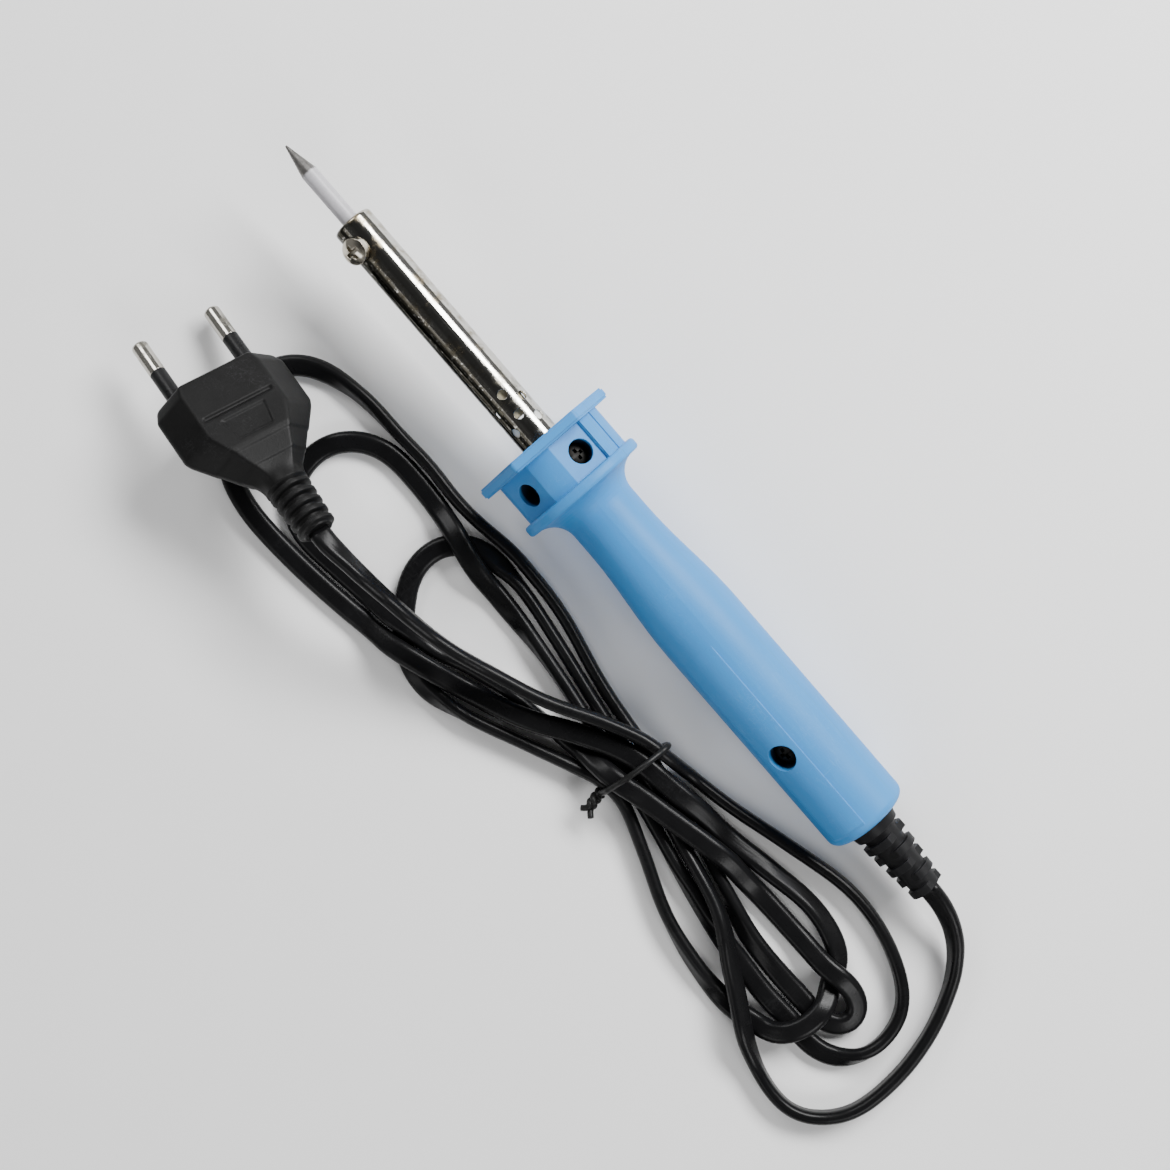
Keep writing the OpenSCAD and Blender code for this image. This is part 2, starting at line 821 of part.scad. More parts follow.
loop_route = [
    waypoint(relief_end, lead_roll),
    waypoint(relief_end - 3 * relief_axis, lead_roll + 2),
    [-119, 0, 7.8, 45], [-126, 0, 5, 60], [-133, 6, 2.7, 90],
    [-139, 18, 2.7, 90], [-143, 36, 2.7, 90], [-142, 50, 2.7, 90], [-133, 58, 2.7, 90],
    [-121, 58, 3.3, 80], [-109, 53, 6, 45], [-100, 48, 6, 45]];

end_route = [
    waypoint(boot_end, plug_roll),
    waypoint(boot_end + 3 * boot_back, plug_roll + 4),
    [30, 50.5, 26, 60], [18, 49.5, 21, 80], [4, 47.5, 15.5, 90], [-10, 43, 11.5, 90],
    [-22, 38.5, 10, 90], [-36, 31.5, 9.6, 90]];

// Position on a smooth curve through b and c, where a and d are the points beside them.
function between(a, b, c, d, u) =
    b + (c - a) * u / 2 + (2 * a - 5 * b + 4 * c - d) * u * u / 2
      + (3 * b - a - 3 * c + d) * u * u * u / 2;

// Heights and rolls only ease from one point to the next, so that nothing dips below the surface.
function step_to(b, c, u) =
    let (share = u * u * (3 - 2 * u))
    [b[2] + (c[2] - b[2]) * share, b[3] + (c[3] - b[3]) * share];

function smooth_route(route, parts) = [
    for (i = [0 : len(route) - 2]) for (k = [0 : parts - 1])
        let (
            u = k / parts,
            b = route[i],
            c = route[i + 1],
            a = i == 0 ? 2 * b - c : route[i - 1],
            d = i == len(route) - 2 ? 2 * c - b : route[i + 2],
            p = between(a, b, c, d, u),
            h = step_to(b, c, u))
        [p[0], p[1], h[0], h[1]],
    route[len(route) - 1]];

function xyz(p) = [p[0], p[1], p[2]];

// A ring of the flat lead at point i: two half circles joined by the flats.
function lead_ring(route, i, w, t) =
    let (
        before = xyz(route[max(i - 1, 0)]),
        after = xyz(route[min(i + 1, len(route) - 1)]),
        along = (after - before) / norm(after - before),
        flat = cross([0, 0, 1], along),
        side = flat / norm(flat),
        up = cross(along, side),
        roll = route[i][3],
        wide = cos(roll) * side + sin(roll) * up,
        thick = cos(roll) * up - sin(roll) * side)
    [for (end = [1, -1]) for (a = [-90, -30, 30, 90])
        xyz(route[i]) + end * (((w - t) / 2 + t / 2 * cos(a)) * wide + t / 2 * sin(a) * thick)];

module lead_along(route) {
    n = len(route);
    m = 8;                  // points of a ring
    rings = [for (i = [0 : n - 1]) each lead_ring(route, i, lead_w, lead_t)];
    polyhedron(rings, concat(
        [[for (j = [0 : m - 1]) j]],
        [[for (j = [m - 1 : -1 : 0]) (n - 1) * m + j]],
        [for (i = [0 : n - 2]) for (j = [0 : m - 1])
            [i * m + j, (i + 1) * m + j, i * m + (j + 1) % m]],
        [for (i = [0 : n - 2]) for (j = [0 : m - 1])
            [i * m + (j + 1) % m, (i + 1) * m + j, (i + 1) * m + (j + 1) % m]]));
}

module lead_loop() {
    color([0.13, 0.13, 0.14])
        lead_along(smooth_route(loop_route, 3));
}

module lead_end() {
    color([0.13, 0.13, 0.14])
        lead_along(smooth_route(end_route, 3));
}

// The hank is drawn as the outer shape of its strands, in two halves that meet at the tie.
// The far end of each half is a circle [x, y, radius]; a step is [top, from x, to x].
tie = [-46.8, 33.4, 7.95];
tie_wire_d = 1.2;
tie_top = 11.3;
low_end = [-114, 33.5, 20.8];
up_end = [60, 43.3, 21.2];
low_steps = [[6.6, -140, tie[0]], [8.4, -100, tie[0]], [tie_top, -58, tie[0]]];
up_steps = [[lead_t + 0.1, tie[0], 90], [lead_w + 0.2, tie[0], 70], [8.4, tie[0], -5],
            [tie_top, tie[0], -36]];

function arc(c, from, to) = [for (a = [from : 6 : to]) [c[0] + c[2] * cos(a), c[1] + c[2] * sin(a)]];

tie_plus = [tie[0], tie[1] + tie[2]];
tie_minus = [tie[0], tie[1] - tie[2]];
low_outline = concat([tie_plus], arc(low_end, 78, 282), [tie_minus]);
up_outline = concat([tie_minus, [5, 21.3]], arc(up_end, -90, 90), [[5, 58.7], tie_plus]);

module hank(outline, steps) {
    color([0.13, 0.13, 0.14])
        difference() {
            for (step = steps)
                intersection() {
                    linear_extrude(step[0])
                        polygon(outline);
                    translate([step[1], 0, -1])
                        cube([step[2] - step[1], 90, 30]);
                }
            // The tie passes under the strands.
            translate([tie[0] - 3, 0, -1])
                cube([6, 90, 1 + tie_wire_d]);
        }
}

module hank_low() {
    hank(low_outline, low_steps);
}

module hank_up() {
    hank(up_outline, up_steps);
}

module rounded_rectangle(w, h, r) {
    translate([-w / 2, -h / 2 + r])
        square([w, h - 2 * r]);
    translate([-w / 2 + r, -h / 2])
        square([w - 2 * r, h]);
    for (x = [-w / 2 + r, w / 2 - r])
        for (y = [-h / 2 + r, h / 2 - r])
            translate([x, y])
                circle(r = r, $fn = 32);
}

// A wire ring that stands round the strands, with its two tails twisted off at the +Y side.
module cord_tie() {
    inner_w = 2 * tie[2];
    inner_h = tie_top - tie_wire_d;
    outer_h = inner_h + 2 * tie_wire_d;
    color([0.08, 0.08, 0.08]) {
        translate([tie[0], tie[1], outer_h / 2])
            rotate([90, 0, 90])
                translate([0, 0, -tie_wire_d / 2])
                    linear_extrude(tie_wire_d)
                        difference() {
                            rounded_rectangle(inner_w + 2 * tie_wire_d, outer_h, 2.6);
                            rounded_rectangle(inner_w, inner_h, 1.4);
                        }
        for (tail = [[3, 7], [-2, 8]])
            rod_between([tie[0], tie[1] + tie[2] + 0.5, 8], [tie[0] + tail[0], 49, tail[1]],
                        tie_wire_d / 2);
    }
}

soldering_tip();
tip_screw();
tip_washer();
tip_bush();
barrel();
core_tube();
inner_mica();
heating_coil();
outer_mica();
front_spacer();
rear_insulator();
heater_lead(1);  // heater_lead_1
heater_lead(-1);  // heater_lead_2
lead_sleeve(1);  // lead_sleeve_1
lead_sleeve(-1);  // lead_sleeve_2
crimp(1);  // crimp_1
crimp(-1);  // crimp_2
mains_core(1);  // mains_core_1
mains_core(-1);  // mains_core_2
barrel_collar();
collar_screw(collar_screw_rolls[0]);  // collar_screw_1
collar_screw(collar_screw_rolls[1]);  // collar_screw_2
handle();
clamp_screw();
lead_clamp();
inner_lead();
strain_relief();
plug_pin(1);  // plug_pin_1
plug_pin(-1);  // plug_pin_2
pin_sleeve(1);  // pin_sleeve_1
pin_sleeve(-1);  // pin_sleeve_2
plug_body();
lead_loop();
hank_low();
hank_up();
lead_end();
cord_tie();
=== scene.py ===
# %% [markdown]
# # A pencil soldering iron with its lead tied in a hank
# The iron is a slim mains tool. A copper tip plated with iron slides into a bright steel barrel and is
# held by one side screw. Behind the barrel comes a handle of pale blue plastic with a hexagonal guard, a
# ribbed strain relief and a flat twin lead, folded into a hank and held by a wire tie. The lead ends in a
# flat plug. Every length below is in metres, in the same frame as the CAD model: +X points to the tip and
# +Y to the side where the lead lies.

# %% Load the CAD model as a fixed frame
import json
import math

import bpy
import numpy as np
from mathutils import Matrix, Vector
from mathutils.geometry import convex_hull_2d


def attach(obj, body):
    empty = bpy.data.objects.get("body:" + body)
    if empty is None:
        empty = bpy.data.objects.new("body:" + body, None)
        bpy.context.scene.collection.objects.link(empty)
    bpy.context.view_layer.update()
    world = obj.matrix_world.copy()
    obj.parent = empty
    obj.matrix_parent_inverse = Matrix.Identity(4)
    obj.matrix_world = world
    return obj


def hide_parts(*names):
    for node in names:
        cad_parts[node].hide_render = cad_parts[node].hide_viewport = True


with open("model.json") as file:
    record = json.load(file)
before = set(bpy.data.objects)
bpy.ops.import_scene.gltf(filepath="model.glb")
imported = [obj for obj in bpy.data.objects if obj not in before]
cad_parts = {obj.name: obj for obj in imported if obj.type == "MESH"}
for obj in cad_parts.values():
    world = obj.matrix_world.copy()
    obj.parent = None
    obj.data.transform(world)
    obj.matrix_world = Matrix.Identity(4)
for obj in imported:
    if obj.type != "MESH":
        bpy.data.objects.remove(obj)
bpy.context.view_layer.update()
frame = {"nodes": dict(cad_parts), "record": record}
nodes = frame["nodes"]
MM = 0.001

# %% [markdown]
# ## Surfaces from arrays
# Most pieces here are tubes of some kind: rings of points, one after another. A ring could be drawn by
# hand or made with a curve's bevel, but a grid of points worked out with numpy gives every point a formula,
# and its two parameters become the UV map, which the patterns on the lead follow.

# %% A grid of points becomes a mesh
def grid_mesh(name, rings):
    """rings is an array [rings, points, 3] in metres. Each quad joins neighbours on two rings; the last
    point of a ring joins its first, and one face closes each end. In the UV map, U is the distance of a
    ring along the piece in metres, and V goes from 0 to 1 round it."""
    count, around = rings.shape[:2]
    points = rings.reshape(-1, 3)
    i, j = np.meshgrid(np.arange(count - 1), np.arange(around), indexing="ij")
    k = (j + 1) % around
    quads = np.stack([i * around + j, i * around + k, (i + 1) * around + k, (i + 1) * around + j], -1)
    faces = quads.reshape(-1, 4).tolist()
    faces.append(list(range(around))[::-1])
    faces.append(list(range((count - 1) * around, count * around)))
    mesh = bpy.data.meshes.new(name)
    mesh.from_pydata(points.tolist(), [], faces)
    u = np.concatenate([[0], np.cumsum(np.linalg.norm(np.diff(rings.mean(1), axis=0), axis=1))])
    layer = mesh.uv_layers.new(name="UVMap")
    corner_v = np.stack([j, j + 1, j + 1, j], -1) / around
    corner_u = u[np.stack([i, i, i + 1, i + 1], -1)]
    uv = np.zeros((len(mesh.loops), 2))
    uv[: corner_u.size] = np.stack([corner_u.ravel(), corner_v.ravel()], -1)
    layer.data.foreach_set("uv", uv.ravel())
    mesh.polygons.foreach_set("use_smooth", np.ones(len(mesh.polygons), bool))
    mesh.update()
    piece = bpy.data.objects.new(name, mesh)
    bpy.context.scene.collection.objects.link(piece)
    return piece

# %% [markdown]
# ## Camera
# The camera looks straight down on the iron from 450 mm above the table. Its upper edge is turned, so
# that the iron lies from the upper left to the lower right.

# %% Camera
CAMERA_AT = (-6.9 * MM, 14 * MM, 450 * MM)
PICTURE_RIGHT = (-0.656, -0.755, 0)                # the picture's right, as a direction on the table
SENSOR, LENS = 36, 58.5                            # mm

def make_camera():
    """A camera over the table, looking straight down."""
    right = Vector(PICTURE_RIGHT).normalized()
    up = Vector((0, 0, 1)).cross(right)
    turn = Matrix((right, up, Vector((0, 0, 1)))).transposed().to_4x4()
    camera = bpy.data.objects.new("camera", bpy.data.cameras.new("camera"))
    bpy.context.scene.collection.objects.link(camera)
    camera.matrix_world = Matrix.Translation(CAMERA_AT) @ turn
    camera.data.sensor_width = SENSOR
    camera.data.lens = LENS
    camera.data.clip_start, camera.data.clip_end = 0.01, 20
    bpy.context.scene.camera = camera
    return camera

print("camera at", tuple(round(v, 4) for v in make_camera().location))

# %% [markdown]
# ## Where the lead runs
# A flat twin lead is stiff across its width, so when it turns in the plane of the table it stands on its
# edge, and where two runs cross it lies flat. The route below goes from the strain relief through every
# fold of the hank to the plug. Each point is x, y, z in millimetres and a roll in degrees: 0 is flat, and
# 90 is on edge.

# %% Points of the route
TILT = math.radians(3.2525)                       # the iron leans back by this much
IRON_L = 224.1                                     # from the tip's point to the end of the relief, mm
PLUG_L = 45                                        # from the plug's face to the end of its boot, mm
AXIS = np.array([math.cos(TILT), 0, math.sin(TILT)])
POINT = np.array([111.9915, 0, 21.8796])          # the point of the tip, mm
PLUG_AT = np.array([84, 48, 12.4])                # middle of the plug's face, mm

def turned(heading, pitch, roll):
    """Rotation matrix: roll about X, then pitch about Y, then heading about Z, in degrees."""
    a, b, c = (math.radians(v) for v in (heading, pitch, roll))
    about_z = np.array([[math.cos(a), -math.sin(a), 0], [math.sin(a), math.cos(a), 0], [0, 0, 1]])
    about_y = np.array([[math.cos(b), 0, math.sin(b)], [0, 1, 0], [-math.sin(b), 0, math.cos(b)]])
    about_x = np.array([[1, 0, 0], [0, math.cos(c), -math.sin(c)], [0, math.sin(c), math.cos(c)]])
    return about_z @ about_y @ about_x

PLUG_TURN = turned(-4, 17, 21)
RELIEF_END = POINT - IRON_L * AXIS
BOOT_BACK = -PLUG_TURN[:, 0]
BOOT_END = PLUG_AT + PLUG_L * BOOT_BACK

from_relief = [
    [*RELIEF_END, 35], [*(RELIEF_END - 3 * AXIS), 37], [-118.5, 0.4, 8.2, 44], [-124.8, 2.4, 6.4, 58],
    [-130.8, 6.8, 4.5, 74], [-136, 13.6, 3.1, 88], [-140.3, 23.5, 2.7, 90], [-142.6, 36, 2.7, 90],
    [-141.3, 49, 2.7, 90], [-133, 58, 2.7, 90], [-121, 58, 3.3, 80], [-109, 53, 6, 45],
    [-96, 46, 6.4, 45], [-78, 38, 3.6, 80]]
inner_fold_up = [
    [-46.8, 32.8, 3.9, 90], [-32, 31, 2.6, 90], [-14, 28, 2.6, 90], [2, 26, 2.6, 90], [12, 27, 1.8, 20],
    [21, 31, 1.6, 0], [23, 40, 1.6, 0], [19, 48, 1.6, 0], [11, 55, 1.6, 0], [0, 57, 2, 30],
    [-13, 54, 2.6, 90], [-29, 47, 2.6, 90]]
middle_fold_low = [
    [-46.8, 39.6, 3.9, 90], [-62, 44, 2.6, 90], [-77, 50, 2.6, 90], [-92, 53, 2.2, 60], [-105, 53, 1.6, 0],
    [-114, 50, 3.4, 0], [-118, 45, 5, 0], [-119, 38, 3, 0], [-115, 31, 1.6, 0], [-110, 26, 1.8, 20],
    [-98, 24, 2.6, 40], [-80, 28, 3.6, 20], [-63, 31, 6.4, 0]]
outer_fold_up = [
    [-46.8, 31.6, 8.2, 0], [-34, 37, 8.4, 0], [-23, 43.5, 8, 0], [-15, 47, 6.4, 0], [-1, 54, 5, 0],
    [13, 57, 5, 0], [28, 60, 3, 0], [45, 62, 1.6, 0], [60, 62, 1.6, 0], [71, 58, 1.6, 0],
    [79, 48, 1.6, 0], [80, 37, 1.6, 0], [74, 29, 1.8, 20], [61, 25, 2.6, 70], [44, 25, 2.6, 90],
    [26, 25, 2.6, 90], [9, 23, 2.6, 90], [-8, 23, 2.6, 90], [-28, 27, 2.6, 90]]
broad_fold_low = [
    [-46.8, 29.4, 3.9, 90], [-62, 32.5, 2.8, 90], [-78, 35, 2.6, 80], [-95, 39, 2.2, 30],
    [-113, 39, 1.7, 0], [-124, 37, 2.6, 20], [-125, 31, 4.6, 20], [-118, 29, 5, 0], [-106, 30, 4.8, 0],
    [-86, 31, 4, 0], [-67, 33, 6.6, 0]]
middle_fold_up = [
    [-46.8, 36.9, 8.2, 0], [-34, 40.5, 5, 50], [-22, 43.5, 2.6, 90], [-4, 48, 2.6, 90], [5, 51, 4, 30],
    [17, 53, 5, 0], [32, 55, 3, 0], [47, 56, 1.6, 0], [56, 50, 1.6, 0], [58, 39, 1.6, 0],
    [52, 30, 2.4, 10], [40, 26, 4.2, 0], [21, 28, 5, 0], [4, 30, 4, 20], [-17, 32, 2.6, 80]]
outer_fold_low = [
    [-46.8, 36.2, 3.9, 90], [-65, 38, 2.6, 90], [-83, 42, 2.4, 60], [-100, 45, 1.6, 0],
    [-116, 46, 1.6, 0], [-128, 44, 1.8, 20], [-134, 35, 2.6, 80], [-131, 23, 2.6, 90],
    [-119, 16, 2.6, 90], [-103, 14, 2.6, 90], [-85, 18, 2.6, 90], [-67, 23, 3, 90]]
to_plug = [
    [-46.8, 27.3, 9.1, 90], [-34, 32, 9.6, 90], [-22, 38.5, 10, 90], [-10, 43, 11.5, 90],
    [4, 47.5, 15.5, 90], [18, 49.5, 21, 80], [30, 50.5, 26, 60], [*(BOOT_END + 3 * BOOT_BACK), 25],
    [*BOOT_END, 21]]
route = np.array(from_relief + inner_fold_up + middle_fold_low + outer_fold_up + broad_fold_low
                 + middle_fold_up + outer_fold_low + to_plug, float)
print("route points:", len(route))

# %% [markdown]
# ## Laying the lead
# A smooth line through the points still lets some runs pass through each other. The line is therefore
# settled like a chain: each bead is pushed off any bead that it touches, kept above the table, pulled a
# little towards its drawn place, and kept in a smooth bend. The thickness that one bead shows to another
# depends on the roll, because the lead is flat. Every tenth round, what the moves have added is averaged
# along the line, more in plan than in height, so that one stretch passes another in a long bend.

# %% Settle the line
LEAD_W, LEAD_T = 5.2, 3.2                          # width and thickness of the flat lead, mm
TIE_X = -46.8                                      # where the tie goes round the hank, mm
BEAD_STEP, SWEEP_STEP = 2.5, 1.25                  # spacing of the beads and of the swept rings, mm
ROUNDS = 600                                       # rounds of settling
NEAR = 8                                           # beads closer than this are compared, mm
APART = 7                                          # beads up to this many apart on the lead never push
MARGIN = 0.45                                      # beads try to keep this much more than touching, mm
PUSH = 0.6                                         # each bead moves by this share of what is missing
PULL_BACK, HOLD_Z = 0.006, 0.3                     # share of the way back in plan, and in height if kept
SINK = 0.02                                        # fall in one round of a bead that isn't kept up, mm
BEND = 24                                          # a larger number makes the lead bend more easily
FLOOR_GAP = 0.02                                   # left below the lead and the tie, mm
UNDER_TIE = 1.65                                   # room for the wire below the hank, mm

def smooth_line(points, step):
    """Catmull-Rom curve through the points, in even steps. Height and roll ease by u*u*(3-2u)."""
    ends = np.vstack([2 * points[0] - points[1], points, 2 * points[-1] - points[-2]])
    u = np.linspace(0, 1, 12, endpoint=False)[None, :, None]
    a, b, c, d = (ends[i: len(ends) - 3 + i][:, None, :] for i in range(4))
    line = b + (c - a) * u / 2 + (2 * a - 5 * b + 4 * c - d) * u**2 / 2 + (3 * b - a - 3 * c + d) * u**3 / 2
    eased = b + (c - b) * u * u * (3 - 2 * u)
    line[..., 2:] = eased[..., 2:]
    return even_steps(np.vstack([line.reshape(-1, 4), points[-1]]), step)

def even_steps(line, step):
    """The same line with its points an even distance apart."""
    along = np.concatenate([[0], np.cumsum(np.linalg.norm(np.diff(line[:, :3], axis=0), axis=1))])
    at = np.linspace(0, along[-1], int(round(along[-1] / step)) + 1)
    return np.stack([np.interp(at, along, line[:, i]) for i in range(line.shape[1])], -1)

def lead_frame(line):
    """Along, wide and thick directions at each point: wide lies level at roll 0 and upright at 90."""
    along = np.gradient(line[:, :3], axis=0)
    along /= np.linalg.norm(along, axis=1)[:, None]
    side = np.cross([0, 0, 1], along)
    side /= np.linalg.norm(side, axis=1)[:, None]
    up = np.cross(along, side)
    roll = np.radians(line[:, 3])[:, None]
    return along, side * np.cos(roll) + up * np.sin(roll), up * np.cos(roll) - side * np.sin(roll)

def spread(values, times):
    """Averages each value with its neighbours, so that a push on one bead bends a long stretch gently."""
    for _ in range(times):
        values[1:-1] = (values[:-2] + 2 * values[1:-1] + values[2:]) / 4
    return values

def settle(line, rounds):
    """Pushes close beads apart, round after round. Returns the line, and how much of MARGIN the closest
    two beads use up. Between its beads the lead can come closer than that, and overlap a little."""
    line = line.copy()
    drawn = line.copy()
    n = len(line)
    spare = (LEAD_W - LEAD_T) / 2
    bead = np.arange(n)
    free = np.ones(n)
    free[:6] = free[-6:] = 0                       # the ends stay where they are
    lift = np.clip((bead - (n - 40)) / 20, 0, 1)   # the run to the plug keeps its height
    start = np.clip((14 - bead) / 8, 0, 1)         # and so does the start
    at_tie = np.abs(line[:, 0] - TIE_X) < 3
    for turn in range(rounds):
        along, wide, _ = lead_frame(line)
        if turn % 5 == 0:
            gap = line[None, :, :3] - line[:, None, :3]
            near = np.einsum("ijk,ijk->ij", gap, gap) < NEAR**2
            a, b = np.nonzero(near & (bead[None] - bead[:, None] > APART))
        d = line[b, :3] - line[a, :3]
        dist = np.linalg.norm(d, axis=1) + 1e-9
        d /= dist[:, None]
        reach = LEAD_T + spare * (np.abs((d * wide[a]).sum(1)) + np.abs((d * wide[b]).sum(1)))
        over = np.clip(reach + MARGIN - dist, 0, None)
        push = d * (PUSH * over)[:, None]
        move = np.zeros((n, 3))
        np.add.at(move, a, -push)
        np.add.at(move, b, push)
        move[:, :2] += PULL_BACK * (drawn[:, :2] - line[:, :2])
        keep = np.maximum(np.maximum(lift, start), 0.9 * at_tie)
        move[:, 2] += HOLD_Z * keep * (drawn[:, 2] - line[:, 2]) - SINK * (1 - keep)
        p = line[:, :3]
        move[2:-2] -= (p[4:] - 4 * p[3:-1] + 6 * p[2:-2] - 4 * p[1:-3] + p[:-4]) / BEND
        line[:, :3] += move * free[:, None]
        if turn % 10 == 0:
            away = spread(line[:, :3] - drawn[:, :3], 1)
            away[:, :2] = spread(away[:, :2], 9)
            line[:, :3] = np.where(free[:, None] > 0, drawn[:, :3] + away, line[:, :3])
        low = LEAD_T / 2 + spare * np.abs(wide[:, 2]) + FLOOR_GAP + UNDER_TIE * at_tie
        line[:, 2] = np.where(free > 0, np.maximum(line[:, 2], low), line[:, 2])
    return line, float(over.max()) if len(over) else 0.0

centre, used = settle(smooth_line(route, BEAD_STEP), ROUNDS)
print("settled beads:", len(centre), "used of the margin in mm:", round(used, 3), "of", MARGIN)

# %% Sweep the lead's outline along the line
VALLEY = 0.16                                      # depth of the valley, mm

def lead_outline(count):
    """Two half circles joined by flats, with a shallow valley between the two cores on each broad side:
    the half thickness falls by VALLEY times the square of the cosine towards the middle."""
    a = np.linspace(0, 2 * np.pi, count, endpoint=False)
    half, r = (LEAD_W - LEAD_T) / 2, LEAD_T / 2
    x = half * np.tanh(3 * np.cos(a)) / math.tanh(3) + r * np.cos(a)
    y = r * np.sin(a)
    valley = np.where(np.abs(x) < half, np.cos(np.pi * x / (2 * half)) ** 2, 0)
    return x, y - np.sign(y) * VALLEY * valley

fine = spread(even_steps(centre, SWEEP_STEP), 3)    # without the corners that straight steps leave
_, wide, thick = lead_frame(fine)
x, y = lead_outline(28)
rings = fine[:, None, :3] + x[None, :, None] * wide[:, None] + y[None, :, None] * thick[:, None]
lead = grid_mesh("mains_lead", rings * MM)

# %% [markdown]
# ## The wire tie
# A plastic-coated wire is drawn tight round the folds and its two tails are twisted together. The ring could
# be a plain circle, but a tie follows what it holds: here it follows the convex outline of the lead's own
# points where they pass through it, further out by the radius of the wire and a small gap.

# %% Tie ring and its twisted tails
TIE_R = 0.75                                       # radius of the coated wire, mm
TIE_GAP = 0.1                                      # between the wire and the lead, mm
TAIL_PARTS = 16                                    # points of each tail that turn away from the other

def round_tube(name, path, radius, around=14):
    """A tube of circles round a path of points in mm; each circle's plane is square to the path."""
    along = np.gradient(path, axis=0)
    along /= np.linalg.norm(along, axis=1)[:, None]
    guide = np.where(np.abs(along[:, :1]) > 0.8, [[0.0, 0.0, 1.0]], [[1.0, 0.0, 0.0]])
    side = np.cross(along, guide)
    side /= np.linalg.norm(side, axis=1)[:, None]
    other = np.cross(along, side)
    a = np.linspace(0, 2 * np.pi, around, endpoint=False)
    ring = radius * (np.cos(a)[:, None] * side[:, None] + np.sin(a)[:, None] * other[:, None])
    return grid_mesh(name, (path[:, None] + ring) * MM)

def tie_paths():
    """The ring's path, and the two tails: helices of opposite phase round one short curved line."""
    held = rings[np.abs(fine[:, 0] - TIE_X) < 1.6].reshape(-1, 3)[:, 1:]
    hull = held[convex_hull_2d([Vector(p) for p in held])]
    middle = hull.mean(0)
    angle = np.arctan2(hull[:, 1] - middle[1], hull[:, 0] - middle[0])
    radius = np.linalg.norm(hull - middle, axis=1)
    order = np.argsort(angle)
    a = np.linspace(0, 2 * np.pi, 121)
    r = np.interp(a, angle[order], radius[order], period=2 * np.pi)
    r = np.maximum(r, np.convolve(np.r_[r[-6:-1], r, r[1:6]], np.ones(11) / 11, "valid")) + TIE_R + TIE_GAP
    y, z = middle[0] + r * np.cos(a), middle[1] + r * np.sin(a)
    z = np.maximum(z, TIE_R + FLOOR_GAP)
    ring = np.column_stack([TIE_X + 0.08 * (y - middle[0]), y, z])
    t = np.linspace(0, 1, 60)
    start = ring[np.argmax(ring[:, 1])]
    line = start + np.column_stack([0.8 * np.sin(2.2 * t) - 2 * t, 4.6 * t, 1.6 * np.sin(2.6 * t)])
    phase = 3 * np.pi * t
    swing = 0.8 * np.clip(1.6 - t, 0.6, 1)
    tails = [line + np.column_stack([s * swing * np.cos(phase), 0 * t, s * swing * np.sin(phase)])
             for s in (1, -1)]
    for tail, parting in zip(tails, ([2.2, 1.0, 0.5], [-2.0, 0.8, 1.0])):
        tail[-TAIL_PARTS:] += np.linspace(0, 1, TAIL_PARTS)[:, None] ** 1.5 * parting
    return ring, tails

tie_ring_path, tail_paths = tie_paths()
tie_ring = round_tube("tie_ring", tie_ring_path, TIE_R)
tie_tails = [round_tube(f"tie_tail_{i + 1}", path, TIE_R) for i, path in enumerate(tail_paths)]
print("tie ring, y and z in mm: from", tie_ring_path[:, 1:].min(0).round(1), "to",
      tie_ring_path[:, 1:].max(0).round(1))

# %% [markdown]
# ## The plug
# A flat plug is moulded round its pins in one shot, so every edge is round and the ribs of its boot are one
# piece with the body. Boxes and bevels would leave the edges sharp where the outline narrows. One grid from
# the middle of the face to the end of the boot is used instead. Its outline changes from a flattened
# hexagon to a circle, and the groove, the recessed panel and the steps are pressed into it.

# %% Plug body as one moulded surface
def smooth_step(x, low, high):
    """0 below low, 1 above high, and t*t*(3-2t) between."""
    t = np.clip((x - low) / (high - low), 0, 1)
    return t * t * (3 - 2 * t)

BOOT_L = 13
BODY_L = PLUG_L - BOOT_L                           # the plug's body in front of its boot, mm
RIBS = 5                                           # on the boot

def plug_outline(half_width, half_thick, bevel, edge, count):
    """Points evenly round a hexagon that is flattened at its sides; one row for each station."""
    w, t = half_width[:, None], half_thick[:, None]
    corner_y = np.concatenate([w, w - bevel, -(w - bevel), -w, -w, -(w - bevel), w - bevel, w], 1)
    corner_z = np.concatenate([edge + 0 * w, t, t, edge + 0 * w, -edge + 0 * w, -t, -t, -edge + 0 * w], 1)
    corner_y, corner_z = np.hstack([corner_y, corner_y[:, :1]]), np.hstack([corner_z, corner_z[:, :1]])
    sizes = np.hypot(np.diff(corner_y), np.diff(corner_z))
    share = np.hstack([0 * w, np.cumsum(sizes, 1)]) / sizes.sum(1, keepdims=True)
    at = np.linspace(0, 1, count, endpoint=False)
    rows = [(np.interp(at, s, a), np.interp(at, s, b)) for s, a, b in zip(share, corner_y, corner_z)]
    return np.array([r[0] for r in rows]), np.array([r[1] for r in rows])

